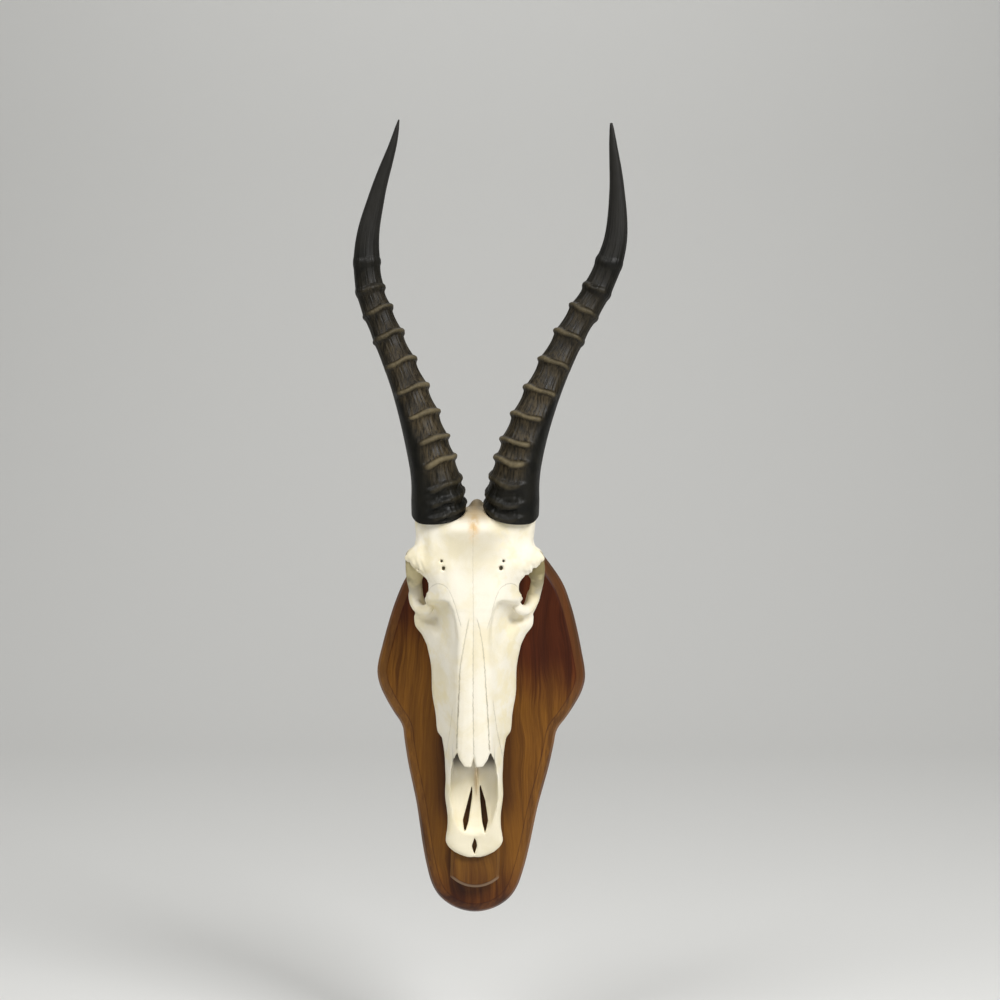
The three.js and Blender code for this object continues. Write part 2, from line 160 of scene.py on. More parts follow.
# Distances to a skin over half sections that mirror at x = 0, slice by slice.
def loftDistance(field, cuts, sections, pointsPerStop, brow=None):
    x, depth, z = [axis[c] for axis, c in zip(field.axes, cuts)]
    heights = [section[0] for section in sections]
    halves = np.array([section[1:] for section in sections])
    number = np.interp(z, heights, np.arange(len(heights)))
    stops = curveThrough(halves.reshape(len(halves), -1), number)
    broad = np.ones(len(z))
    if brow:
        broad += brow["more"] * np.exp(-(((z - brow["z"]) / brow["tall"]) ** 2))
    out = np.empty((len(x), len(depth), len(z)), np.float32)
    for k in range(len(z)):
        flatX, flatD = np.meshgrid(np.where(x > 0, x / broad[k], -x), depth, indexing="ij")
        half = stops[k].reshape(-1, 2)
        ring = np.vstack([half, half[-2:0:-1] * [-1, 1]])
        t = np.arange(len(ring) * pointsPerStop) / pointsPerStop
        flat = outlineDistance(flatX, flatD, curveThrough(ring, t, closed=True))
        past = max(heights[0] - z[k], z[k] - heights[-1])
        out[:, :, k] = np.maximum(flat, past) if past < 0 else np.hypot(np.maximum(flat, 0), past)
    return out


# Distance to a bent rod through stops [x, depth, z, half width, half thickness].
def rodDistance(field, stops, samples=40, margin=4):
    stops = np.asarray(stops, float)
    t = np.linspace(0, len(stops) - 1, samples)
    line = curveThrough(stops[:, :3], t)
    size = curveThrough(stops[:, 3:], t)
    reach = size.max() + margin
    cuts = field.window(line.min(0) - reach, line.max(0) + reach)
    p = np.stack(field.points(cuts), -1)
    best = np.full(p.shape[:-1], 1e9, np.float32)
    out = best.copy()
    along = np.gradient(line, axis=0)
    along /= np.linalg.norm(along, axis=1)[:, None]
    for centre, way, (wide, thick) in zip(line, along, size):
        d = p - centre
        across = np.array([1.0, 0, 0]) - way[0] * way
        across /= np.linalg.norm(across)
        over = np.cross(way, across)
        u, v, w = d @ across, d @ over, d @ way
        far = (u / wide) ** 2 + (v / thick) ** 2 + (w / wide) ** 2
        shape = (np.sqrt(far) - 1) * min(wide, thick)
        out = np.where(far < best, shape, out)
        best = np.minimum(best, far)
    return cuts, out.astype(np.float32)


# Distance to an egg [x, depth, z, three radii], on the right or the left side.
def eggDistance(field, egg, side=1, margin=5):
    centre = np.array(egg[:3]) * [side, 1, 1]
    radii = np.array(egg[3:])
    cuts = field.window(centre - radii - margin, centre + radii + margin)
    p = np.stack(field.points(cuts), -1) - centre
    a = np.linalg.norm(p / radii, axis=-1)
    b = np.linalg.norm(p / radii**2, axis=-1)
    return cuts, (a * (a - 1) / np.maximum(b, 1e-6)).astype(np.float32)


# Distance to an oval tube, from the place (u, v) across it.
def ovalDistance(u, v, half, oval):
    return (np.hypot(u / half, v / (oval * half)) - 1) * half


# A soft spot of influence on both sides of the skull: place and reach along |x|, depth and z.
def spot(x, depth, z, place):
    dx, dd, dz, rx, rd, rz = place
    return np.exp(-(((np.abs(x) - dx) / rx) ** 2) - ((depth - dd) / rd) ** 2 - ((z - dz) / rz) ** 2)


# Turns a field into a closed skin of quads, one point in each cell that the surface passes.
def skinOf(field):
    f = field.values
    counts = np.array(f.shape) - 1
    total = np.zeros(counts, np.float32)
    place = np.zeros((*counts, 3), np.float32)
    crossings = []
    for axis in range(3):
        a = np.take(f, range(f.shape[axis] - 1), axis)
        b = np.take(f, range(1, f.shape[axis]), axis)
        cross = (a < 0) != (b < 0)
        t = np.where(cross, a / np.where(cross, a - b, 1), 0)
        crossings.append((cross, a < 0))
        others = [o for o in range(3) if o != axis]
        for da in (0, 1):
            for db in (0, 1):
                cut = [slice(None)] * 3
                cut[others[0]] = slice(da, da + counts[others[0]])
                cut[others[1]] = slice(db, db + counts[others[1]])
                c = cross[tuple(cut)]
                total += c
                place[..., axis] += np.where(c, t[tuple(cut)], 0)
                place[..., others[0]] += c * da
                place[..., others[1]] += c * db
    used = total > 0
    number = np.full(used.shape, -1)
    number[used] = np.arange(used.sum())
    cells = np.argwhere(used)
    points = field.low + (cells + place[used] / total[used][:, None]) * field.cell
    quads = []
    for axis, (cross, inner) in enumerate(crossings):
        others = [o for o in range(3) if o != axis]
        where = np.argwhere(cross)
        where = where[(where[:, others[0]] > 0) & (where[:, others[1]] > 0)]
        where = where[(where[:, others[0]] < counts[others[0]]) & (where[:, others[1]] < counts[others[1]])]
        corners = []
        for da, db in ((1, 1), (0, 1), (0, 0), (1, 0)):
            c = where.copy()
            c[:, others[0]] -= da
            c[:, others[1]] -= db
            corners.append(number[c[:, 0], c[:, 1], c[:, 2]])
        quad = np.stack(corners, 1)
        outward = inner[where[:, 0], where[:, 1], where[:, 2]]
        if axis == 1:
            outward = ~outward
        quad[~outward] = quad[~outward][:, ::-1]
        quads.append(quad)
    return points, np.vstack(quads)


# A grid's values at points between its nodes.
def sample(field, points, values):
    g = (points - field.low) / field.cell
    i = np.clip(np.floor(g).astype(int), 0, np.array(values.shape) - 2)
    w = g - i
    out = 0
    for dx in (0, 1):
        for dy in (0, 1):
            for dz in (0, 1):
                weight = (
                    np.where(dx, w[:, 0], 1 - w[:, 0])
                    * np.where(dy, w[:, 1], 1 - w[:, 1])
                    * np.where(dz, w[:, 2], 1 - w[:, 2])
                )
                out = out + weight * values[i[:, 0] + dx, i[:, 1] + dy, i[:, 2] + dz]
    return out


# The mean of a grid over the cube of cells around each cell.
def boxBlur(values, reach):
    out = values.astype(np.float32)
    for axis in range(3):
        size = out.shape[axis]
        total = np.concatenate([np.zeros_like(np.take(out, [0], axis)), np.cumsum(out, axis)], axis)
        high = np.minimum(np.arange(size) + reach + 1, size)
        low = np.maximum(np.arange(size) - reach, 0)
        wide = (high - low).reshape([-1 if a == axis else 1 for a in range(3)])
        out = (np.take(total, high, axis) - np.take(total, low, axis)) / wide
    return out


# Centre lines [x, depth, z] from base to tip, the rings' heights, and half widths [z, half width].
horn = {
    "fit": 0.35,
    "left": [
        [-29.3, 102, 135], [-31.7, 105.5, 162], [-40.4, 106, 197], [-54.7, 102, 240.4], [-74.9, 95, 288.8],
        [-88.6, 92, 325.6], [-90.6, 94, 364.3], [-81, 101, 406.7], [-67.2, 111, 447], [-62.4, 115, 465.6],
    ],
    "leftRidges": [141, 150.5, 160, 176.3, 193.6, 214.5, 236.5, 259.3, 283.2, 305, 324.1, 348.2],
    "right": [
        [32.7, 102, 135], [35.4, 105.5, 162], [43.9, 106, 195.8], [60.6, 102, 239.6], [84.8, 95, 289.1],
        [107.2, 92, 327.2], [120.8, 94, 364.3], [122.1, 101, 406.7], [118, 111, 447], [116.4, 115, 462.8],
    ],
    "rightRidges": [139.6, 149.4, 162, 176.5, 191.3, 212.2, 234.7, 258.9, 283.2, 304.8, 323.5, 347.3],
    "widths": [
        [135, 23.2], [147, 22.6], [176, 19.6], [215, 16.6], [240, 14.7], [260, 13.4], [285, 12.6],
        [305, 12.4], [324, 11.9], [345, 11.2], [364, 10.1], [385, 8.3], [407, 6.5], [428, 5], [447, 3.2],
        [458, 1.9], [466, 0.5],
    ],
    "ringStrength": [0.72] * 3 + [1.0] * 6 + [0.85, 0.62, 0.34],
    "ringThick": [2.6] * 10 + [3.2, 3.9],
    "rise": 3.5,
    "oval": 1.1,
    "cap": 0.4,
    "seat": 135.5,
    "droop": 0.34,
    "droopReach": 42,
    "room": {"gap": 0.8, "flare": 2.4, "flareOver": 5, "low": (30, 32, 16), "high": (30, 32, 30)},
    "samples": 4000,
    "sides": 112,
    "step": 0.75,
}


# A horn at each height: its centre, the normal, side and front of its ring, and its half width.
def hornFrames(side, z):
    line = np.array(horn["left" if side < 0 else "right"], float)
    points = curveThrough(line, np.linspace(0, len(line) - 1, horn["samples"]))
    way = np.gradient(points, axis=0)
    way /= np.linalg.norm(way, axis=1)[:, None]
    centre = np.stack([np.interp(z, points[:, 2], points[:, a]) for a in range(3)], -1)
    along = np.stack([np.interp(z, points[:, 2], way[:, a]) for a in range(3)], -1)
    droop = horn["droop"] * np.maximum(0, 1 - (z - horn["seat"]) / horn["droopReach"])
    normal = along + np.stack([0 * droop, droop, 0 * droop], -1)
    normal /= np.linalg.norm(normal, axis=-1)[..., None]
    across = np.array([1.0, 0, 0]) - normal[..., :1] * normal
    across /= np.linalg.norm(across, axis=-1)[..., None]
    front = np.cross(normal, across)
    widths = np.array(horn["widths"])
    return centre, normal, across, front, np.interp(z, widths[:, 0], widths[:, 1])


# Skull: half sections [height, [x, depth] ...] from the top of the face round to the underside.
skull = {
    "cell": 1.3,
    "quickCell": 2.4,
    "low": (-66.0, 25.0, -175.0),
    "high": (66.0, 125.0, 150.0),
    "sections": [
        [-169.6, [0, 42.8], [2.4, 43], [4.4, 42.9], [5.8, 42.3], [6.4, 41.2], [6, 40], [4.6, 38.9],
         [2.6, 38.6], [0, 38.6]],
        [-168, [0, 43.6], [4.2, 44], [7.6, 43.9], [10.2, 43], [11.4, 41.7], [10.8, 40.2], [8.4, 38.6],
         [4.8, 38.2], [0, 38.4]],
        [-164.6, [0, 44.8], [6.8, 45.4], [12, 45.4], [16, 44.4], [17.8, 42.6], [17, 40.8], [13.2, 38.4],
         [8, 38], [0, 38.2]],
        [-160, [0, 46], [9, 46.7], [15.6, 47], [20.4, 45.8], [22.8, 43.6], [21.8, 41], [17.4, 38.1],
         [10.6, 37.9], [0, 38.3]],
        [-155, [0, 47], [11, 48], [17.8, 48.5], [22.6, 47], [25.1, 44.5], [24.2, 41.5], [19.3, 38.1],
         [12, 37.9], [0, 38.6]],
        [-150, [0, 48.5], [11, 49.5], [17.6, 50], [22.2, 48.5], [24.8, 45.5], [24, 42.5], [19, 38.2],
         [12, 37.9], [0, 39]],
        [-143, [0, 51], [11, 51.5], [17, 52], [21.5, 50.5], [23.6, 47], [23, 43.5], [18, 38.4], [11.5, 38],
         [0, 40]],
        [-132, [0, 55], [12, 55], [17.5, 55], [21.5, 53], [23.3, 49.5], [22.8, 45], [17.5, 38.6],
         [11.5, 38.2], [0, 41]],
        [-115, [0, 62], [14, 62], [20, 61], [23.8, 57], [25.3, 51.5], [24.5, 46], [18, 39.2], [12, 38.6],
         [0, 43]],
        [-97, [0, 79], [10, 78], [18.5, 72], [23, 64], [24.8, 55], [24.3, 48], [18, 40], [12, 39.3],
         [0, 45]],
        [-90, [0, 82.8], [10.5, 81], [17.8, 74], [22.3, 65], [25.1, 55], [24.6, 48], [18.5, 40.3],
         [13, 39.6], [0, 45.5]],
        [-79, [0, 85.3], [13.5, 83], [17.8, 76], [22, 66], [25.6, 54.8], [25, 48], [19, 40.5],
         [13.5, 39.8], [0, 46]],
        [-63, [0, 89.2], [13.4, 87], [18.2, 78.5], [23, 67.5], [28, 55.5], [27, 48.5], [21, 41],
         [15, 40.5], [0, 47]],
        [-57, [0, 90.5], [13, 88.4], [18.5, 79.8], [25.4, 67.8], [32, 56], [30.6, 49], [23.5, 41.3],
         [15.8, 40.8], [0, 47.3]],
        [-40, [0, 94], [12.3, 92], [19.5, 82.5], [28, 70], [34.2, 57.5], [32.5, 50], [28.5, 42.2],
         [18, 41.6], [0, 48.5]],
        [-22, [0, 97.6], [12.2, 95.6], [20.3, 85.6], [29.2, 73.6], [36.5, 60], [35.5, 52], [31.5, 42.4],
         [20.5, 42], [0, 49.5]],
        [0, [0, 102], [13, 100], [21.5, 89], [30, 76.5], [37, 63], [37, 54], [34.6, 42.6], [22.5, 42],
         [0, 50]],
        [19, [0, 105.5], [13.8, 103.6], [22.5, 92], [31, 78], [40.8, 65], [40, 56], [36, 42.6],
         [23.5, 42], [0, 50]],
        [28, [0, 107.3], [14.2, 105.4], [23, 93.5], [32, 79], [45, 65.5], [43.5, 57], [36.3, 42.6],
         [23.5, 42], [0, 49.7]],
        [36, [0, 108.8], [14.8, 107], [23.6, 95], [33, 80], [51, 65.5], [48, 57.5], [36.5, 42.8],
         [23.5, 42.2], [0, 49.5]],
        [44, [0, 110.4], [15.6, 108.5], [24.5, 96.5], [33.5, 82], [52.2, 67], [48, 58], [36, 43.5],
         [22.5, 42.6], [0, 49.2]],
        [49.5, [0, 111.6], [16.6, 109.8], [26, 99.5], [34.5, 85.5], [47, 73], [43, 62], [33, 45.5],
         [21, 43.4], [0, 49]],
        [53, [0, 112.4], [17.6, 110.8], [27, 100.5], [36, 88], [43.5, 75], [38, 64], [30, 48], [19, 44.2],
         [0, 49]],
        [56.8, [0, 113.1], [18.2, 111.6], [28.6, 103.6], [39.6, 91.5], [38.5, 79], [31, 68], [26, 52],
         [16.5, 44.8], [0, 48.7]],
        [60, [0, 113.8], [19, 112.4], [30, 106], [41.4, 94], [36, 82], [26, 70], [22, 55], [15, 45.5],
         [0, 48.5]],
        [68, [0, 115.2], [20, 113.9], [33.5, 106], [38.8, 99.5], [30, 91], [18, 78], [17, 60], [13, 45],
         [0, 47]],
        [76, [0, 116.5], [21, 115.2], [34.5, 108.5], [38.8, 103], [28, 97], [16, 80], [15, 61], [12, 43.5],
         [0, 45]],
        [83, [0, 117.5], [23, 116.2], [40, 109.5], [45, 104], [33, 98.5], [17, 80], [15, 59], [11, 41],
         [0, 42.5]],
        [90, [0, 118.5], [26, 117.2], [48, 109.2], [53, 103.5], [39, 98.5], [23, 78], [20, 56], [12, 38.5],
         [0, 40]],
        [96, [0, 119], [27.5, 117.6], [51, 109.2], [58.6, 103], [44, 98], [29, 76], [26, 54], [13, 36],
         [0, 38]],
        [102, [0, 119.8], [27, 118.6], [45.5, 112], [54.6, 104.2], [41.5, 94.6], [31.5, 74], [28.5, 52],
         [14, 35], [0, 36.5]],
        [107, [0, 120.3], [26, 119.4], [43, 113.6], [50, 105.5], [41, 94.5], [33, 72], [30, 50],
         [14, 34.5], [0, 35.5]],
        [118, [0, 120.6], [24, 120], [40.5, 115.2], [47.6, 106], [41, 92], [36, 70], [32, 50],
         [18, 36.5], [0, 37]],
        [128, [0, 118.8], [21, 119.2], [37.5, 115.4], [45.6, 105], [40.5, 90], [36, 72], [30, 55],
         [18, 44], [0, 43]],
        [134, [0, 112.5], [15, 113], [30, 109], [38, 101], [38.5, 88], [34.5, 74], [28, 62], [15, 54],
         [0, 53]],
        [138.5, [0, 98], [13, 99], [23, 98], [29, 94], [31, 89], [29, 82], [22, 76], [12, 73.5],
         [0, 73]],
    ],
    # Rods through [x, depth, z, half width, half thickness].
    "bars": [
        [
            [-48.5, 96.5, 96, 9.6, 4], [-49, 94, 87, 9, 4.8], [-50.6, 88, 78, 6.8, 5.6],
            [-50, 78, 69, 6, 5.4], [-49, 71, 60, 5.8, 5.4], [-46, 67, 51, 6, 6.2], [-40, 65, 43, 6, 7],
        ],
        [
            [50, 96.5, 96, 10, 4], [52.6, 94, 87, 8.6, 4.8], [54.6, 88, 78, 5.8, 5.6],
            [53.6, 78, 69, 5.4, 5.4], [51.4, 71, 60, 5.2, 5.4], [47.5, 67, 51, 5.6, 6.2],
            [40, 65, 43, 6, 7],
        ],
    ],
    "lowerRim": [
        [51.5, 71, 63, 4.8, 5], [50.5, 75.5, 56, 4.6, 4.8], [46, 80, 50.6, 4.4, 4.6],
        [41.5, 83.5, 50.4, 4.2, 4.6], [37.5, 86, 52.6, 3.6, 4.4],
    ],
    "cheekArch": [
        [50, 70, 58, 3.4, 5], [53.5, 61, 78, 3.2, 5.4], [51, 54, 97, 3.2, 5.6], [43, 50, 112, 4, 6],
        [32, 49, 121, 5, 7],
    ],
    "vomer": [
        [0, 60, -70, 0.9, 8], [1.6, 55, -90, 0.9, 6], [3, 50.5, -103, 0.8, 3.5], [2, 47, -118, 0.8, 1.6],
    ],
    # Lumps of the skull's base, on both sides: [x, depth, z, three radii].
    "eggs": [[17, 35, 104, 8, 8, 12], [24, 36, 122, 4, 10, 5], [12, 46, 129, 7, 8, 8]],
    "crownLump": [3, 86, 138, 6.5, 10, 8],
    "hollows": [[0, 40, 64, 8.5, 12, 20], [0, 50, 135, 8, 8, 8]],
    # The nose cavity: [z, half width, top depth, floor depth].
    "nose": [
        [-148, 7, 54, 48.6], [-143, 13.5, 60, 46.4], [-132, 17, 66, 45.8], [-115, 19.6, 74, 47.6],
        [-97, 19.8, 77.5, 50], [-79, 18.2, 80.4, 52.5], [-60, 16.4, 83, 56], [-38, 10, 84, 64],
    ],
    "window": [
        [-14.2, -71.5], [-12.3, -78], [-8, -84.5], [-2, -85.2], [0, -75], [2, -85.2], [8, -84.5],
        [12.3, -78], [14.2, -71.5], [18.6, -84], [20, -97], [20, -115], [17.4, -131], [14.4, -141],
        [8, -147.5], [0, -149.5], [-8, -147.5], [-14.4, -141], [-17.4, -131], [-20, -115], [-20, -97],
        [-18.6, -84],
    ],
    "slits": [
        [[-1.6, -103.5], [-4.4, -115], [-10.1, -137], [-8.4, -148.5], [-5.3, -138.6], [-1.8, -115]],
        [[4.4, -101.5], [9.7, -119], [12.3, -137], [9.7, -148.5], [7, -138.6], [5.3, -119]],
        [[0.7, -150.5], [-2.2, -159.7], [0, -167.8], [2.6, -159]],
    ],
    "windowDepth": (55, 110),
    "slitDepth": (30, 60),
    "pitDepth": (110, 126),
    # The hollow in front of each orbit, in |x| and z: steep at the top and along the nose.
    "fossa": [
        [41, 52.5], [37, 55.6], [30, 58.6], [25, 59.6], [20.7, 58.4], [17.2, 51.3], [14.6, 39.7],
        [12.6, 26], [12, 10], [16, -16], [30, -14], [40, 10], [46, 34], [47, 47],
    ],
    "fossaDepth": 7.2,
    # How much broader the brow is on the right.
    "rightBrow": {"more": 0.055, "z": 88, "tall": 17},
    # Small pits of the brow: [x, z, radius].
    "pits": [[-26.5, 93.7, 1.1], [-24.8, 87.4, 1.5], [25.6, 93.7, 1.05], [23.5, 87.8, 1.7]],
    "pedicel": {"inset": 2.2, "oval": 1.03, "below": 13, "half": 17, "reach": 45},
    # How softly each form runs into the bone.
    "blend": {
        "bars": 1.8, "cheekArch": 4, "eggs": 4, "crownLump": 5, "pedicel": 6, "lowerRim": 2.5,
        "nose": 2, "window": 1.6, "slits": 1, "pits": 0.8, "hollows": 3, "sockets": 0.5, "vomer": 1.5,
        "hornRoom": 0.6,
    },
    # Marks of how shut in the skin is, which the bone's colour uses for painted shade: how far around it is
    # felt, and how far out.
    "marks": {"hollow": (5, 1.5), "deep": (13, 5)},
}


def mirrored(stops, side):
    return np.array(stops) * [side, 1, 1, 1, 1]


def skullField(cell):
    field = Field(skull["low"], skull["high"], cell)
    blend = skull["blend"]
    shell = loftDistance(field, field.whole, skull["sections"], 3, skull["rightBrow"])
    slope = np.sqrt(sum(g**2 for g in np.gradient(shell, cell)))
    field.values = (shell / np.clip(slope, 1, 3)).astype(np.float32)
    for side, bar in zip((-1, 1), skull["bars"]):
        field.add(*rodDistance(field, bar), blend["bars"])
        field.add(*rodDistance(field, mirrored(skull["cheekArch"], side)), blend["cheekArch"])
        for egg in skull["eggs"]:
            field.add(*eggDistance(field, egg, side), blend["eggs"])
    field.add(*eggDistance(field, skull["crownLump"]), blend["crownLump"])
    for side in (-1, 1):
        addPedicel(field, side)
    dentSkull(field)
    for side in (-1, 1):
        field.add(*rodDistance(field, mirrored(skull["lowerRim"], side)), blend["lowerRim"])
    carveNose(field)
    carvePitsAndSockets(field)
    field.add(*rodDistance(field, skull["vomer"]), blend["vomer"])
    for side in (-1, 1):
        carveHornRoom(field, side)
    return field


# The nose cavity, its open window in front and the slits through the palate.
def carveNose(field):
    x, depth, z = field.points(field.whole)
    blend = skull["blend"]
    nose = []
    for height, wide, top, low in skull["nose"]:
        bulge = [[0.62 * wide, top - 1.5], [wide, (top + low) / 2], [0.8 * wide, low + 2.5]]
        nose.append([height, [0, top], *bulge, [0, low]])
    field.carve(field.whole, loftDistance(field, field.whole, nose, 4), blend["nose"])
    cuts = [(skull["window"], skull["windowDepth"], blend["window"])]
    cuts += [(slit, skull["slitDepth"], blend["slits"]) for slit in skull["slits"]]
    for outline, (low, high), soft in cuts:
        flat = outlineDistance(x[:, 0, :], z[:, 0, :], outline)[:, None, :]
        cut = np.maximum(flat, np.maximum(low - depth, depth - high))
        field.carve(field.whole, cut.astype(np.float32), soft)


# The small pits of the brow, the hollows at the throat and the nape, and the tooth sockets.
def carvePitsAndSockets(field):
    x, depth, z = field.points(field.whole)
    blend = skull["blend"]
    low, high = skull["pitDepth"]
    for px, pz, r in skull["pits"]:
        flat = np.hypot(x - px, 0.8 * (z - pz)) - r
        pit = np.maximum(flat, np.maximum(low - depth, depth - high))
        field.carve(field.whole, pit, blend["pits"])
    for egg in skull["hollows"]:
        field.carve(*eggDistance(field, egg), blend["hollows"])
    sideGap, endGap = cheekTeeth["sideGap"], cheekTeeth["endGap"]
    for height, length, width, toothX in cheekTeeth["row"]:
        across = np.abs(np.abs(x) - toothX) - width / 2 - sideGap
        along = np.abs(z - height) - length / 2 - endGap
        cut = np.maximum(np.maximum(across, along), depth - cheekTeeth["root"] - sideGap)
        field.carve(field.whole, cut, blend["sockets"])


# The short stump of bone that carries a horn.
def addPedicel(field, side):
    centre, normal, across, front, half = hornFrames(side, np.array(horn["seat"]))
    pedicel = skull["pedicel"]
    cuts = field.window(centre - pedicel["reach"], centre + pedicel["reach"])
    q = np.stack(field.points(cuts), -1) - centre
    stump = ovalDistance(q @ across, q @ front, half - pedicel["inset"], pedicel["oval"])
    ends = np.abs(q @ normal + pedicel["below"]) - pedicel["half"]
    field.add(cuts, np.maximum(stump, ends).astype(np.float32), skull["blend"]["pedicel"])


# Room for the horn above its seat, a little wider than the horn.
def carveHornRoom(field, side):
    seat = horn["seat"]
    room = horn["room"]
    centre, normal, *_ = hornFrames(side, np.array(seat))
    cuts = field.window(centre - room["low"], centre + room["high"])
    x, depth, z = field.points(cuts)
    line, *_, widths = hornFrames(side, np.maximum(z, seat))
    half = widths + room["gap"] + room["flare"] * smoothStep(z, seat, seat + room["flareOver"])
    away = ovalDistance(x - line[..., 0], depth - line[..., 1], half, horn["oval"])
    above = (np.stack([x, depth, z], -1) - centre) @ normal + horn["fit"]
    field.carve(cuts, np.maximum(away, -above).astype(np.float32), skull["blend"]["hornRoom"])


# Soft dents (above zero) and swellings (below zero): |x|, depth, z, three reaches and the amount.
dents = [
    [33, 76, 8, 9, 12, 20, 0.7],
    [41, 111, 106, 4.5, 12, 15, 1.5],
    [25, 118, 78, 3.5, 8, 9, 0.7],
    [20, 82, -64, 4, 10, 14, 0.7],
    [30, 55, -40, 5, 8, 10, 0.8],
    [44, 76, 41.8, 9, 9, 3, 2.4],
    [33, 80, 30, 7, 10, 9, -0.8],
    [36, 104, 66, 6, 6, 5, 0.5],
    [16, 106, 66, 5, 6, 9, -0.6],
]
# The crease between the nasal bones.
groove = {"deep": 0.55, "half": 1.5, "fadeZ": (52, 40), "fadeDepth": (78, 84)}
# Ragged bone at the brow rim and at the knob below the orbit, written as the dents are.
raggedSpots = [
    [46, 104, 88, 10, 5, 9, 1.15],
    [40.5, 92, 60, 3.4, 10, 8, 0.62],
]
# Waves that make it ragged: radians per mm along x, depth and z, and the phase.
raggedWaves = [
    [1.35, 0, 0.6, 0],
    [0, -0.7, 1, 1.3],
    [0.9, 1.6, 0, 2.1],
]


def dentSkull(field):
    x, depth, z = field.points(field.whole)
    for *place, amount in dents:
        field.values += amount * spot(x, depth, z, place)
    crease = np.exp(-((x / groove["half"]) ** 2)) * smoothStep(z, *groove["fadeZ"])
    field.values += groove["deep"] * crease * smoothStep(depth, *groove["fadeDepth"])
    sinkFront(field, fossaSink(np.abs(x[:, 0, :]), z[:, 0, :]))
    waves = sum(np.sin(a * x + b * depth + c * z + turn) for a, b, c, turn in raggedWaves)
    field.values += waves * sum(amount * spot(x, depth, z, place) for *place, amount in raggedSpots)


# How far the hollow in front of each orbit sinks the face.
def fossaSink(x, z):
    within = -outlineDistance(x, z, skull["fossa"])
    sunk = smoothStep(within, -0.5, 1.4 + 5 * smoothStep(z, 40, 8))  # steep above, soft below
    sunk *= (0.4 + 0.6 * smoothStep(z, 0, 50)) * smoothStep(z, -16, 18)  # shallower downwards
    sunk *= smoothStep(x + 0.5 * (48 - z) * (z < 48), 47, 34)  # runs out on the cheek
    return skull["fossaDepth"] * sunk


# Sinks the front face by an amount for each x and z, and leaves what lies behind it.
def sinkFront(field, amount):
    count = field.values.shape[1]
    row = np.arange(count)[None, :, None] + amount[:, None, :] / field.cell
    low = np.clip(np.floor(row).astype(int), 0, count - 2)
    share = np.clip(row - low, 0, 1)
    near = np.take_along_axis(field.values, low, 1)
    far = np.take_along_axis(field.values, low + 1, 1)
    moved = near * (1 - share) + far * share
    field.values = np.maximum(field.values, moved).astype(np.float32)


def buildSkull():
    field = skullField(skull["cell"])
    points, quads = skinOf(field)
    slopes = [g.astype(np.float32) for g in np.gradient(field.values, field.cell)]
    for _ in range(2):
        slope = np.stack([sample(field, points, g) for g in slopes], -1)
        steep = np.maximum((slope**2).sum(-1), 0.25)
        points = points - 0.7 * slope * (sample(field, points, field.values) / steep)[:, None]
    outward = slope / np.maximum(np.linalg.norm(slope, axis=1), 1e-6)[:, None]
    bony = (field.values < 0).astype(np.float32)
    marks = {}
    for mark, (reach, lift) in skull["marks"].items():
        blurred = boxBlur(bony, int(reach / field.cell))
        marks[mark] = sample(field, points + lift * outward, blurred)
    verts = points * [1, -1, 1] * mm
    piece = meshPiece("skullBone", verts, quads.tolist(), "skull", marks)
    print("skull:", len(verts), "points")
    return piece


# Height of the rings, 0 to 1: a rope along each ring and a skirt that slopes to its neighbours.
def ringCrests(height, turn, ridges):
    wave = 0.9 * np.sin(2 * turn + 0.7) + 0.45 * np.sin(5 * turn + 2.0)
    crest = np.zeros_like(height)
    for k, ridge in enumerate(ridges):
        low = ridge - (ridges[k - 1] if k else horn["seat"] - 8)
        high = (ridges[k + 1] - ridge) if k + 1 < len(ridges) else 30
        off = height - ridge - wave * (0.8 if k > 3 else 1.5)
        thick = horn["ringThick"][k] + 0.35 * np.sin(3 * turn + k)
        rope = np.exp(-np.abs(off / thick) ** 2.6)
        skirt = 0.4 * np.exp(-((off / np.where(off > 0, 0.3 * high, 0.22 * low)) ** 2))
        crest = np.maximum(crest, horn["ringStrength"][k] * np.maximum(rope, skirt))
    return crest


# The lengthwise grain of a horn, and the crumbly skin above its base.
def hornSkin(height, turn):
    grain = (
        np.sin(23 * turn + 1.5 * np.sin(height / 21))
        + np.sin(37 * turn + 2.0 * np.sin(height / 17 + 1) + 1)
        + 0.7 * np.sin(51 * turn + height / 13)
    )
    crumbs = np.sin(height * 1.1 + 3 * np.sin(turn * 3)) + 0.7 * np.sin(29 * turn + height * 0.4)
    return grain, crumbs * smoothStep(height, 172, 148)


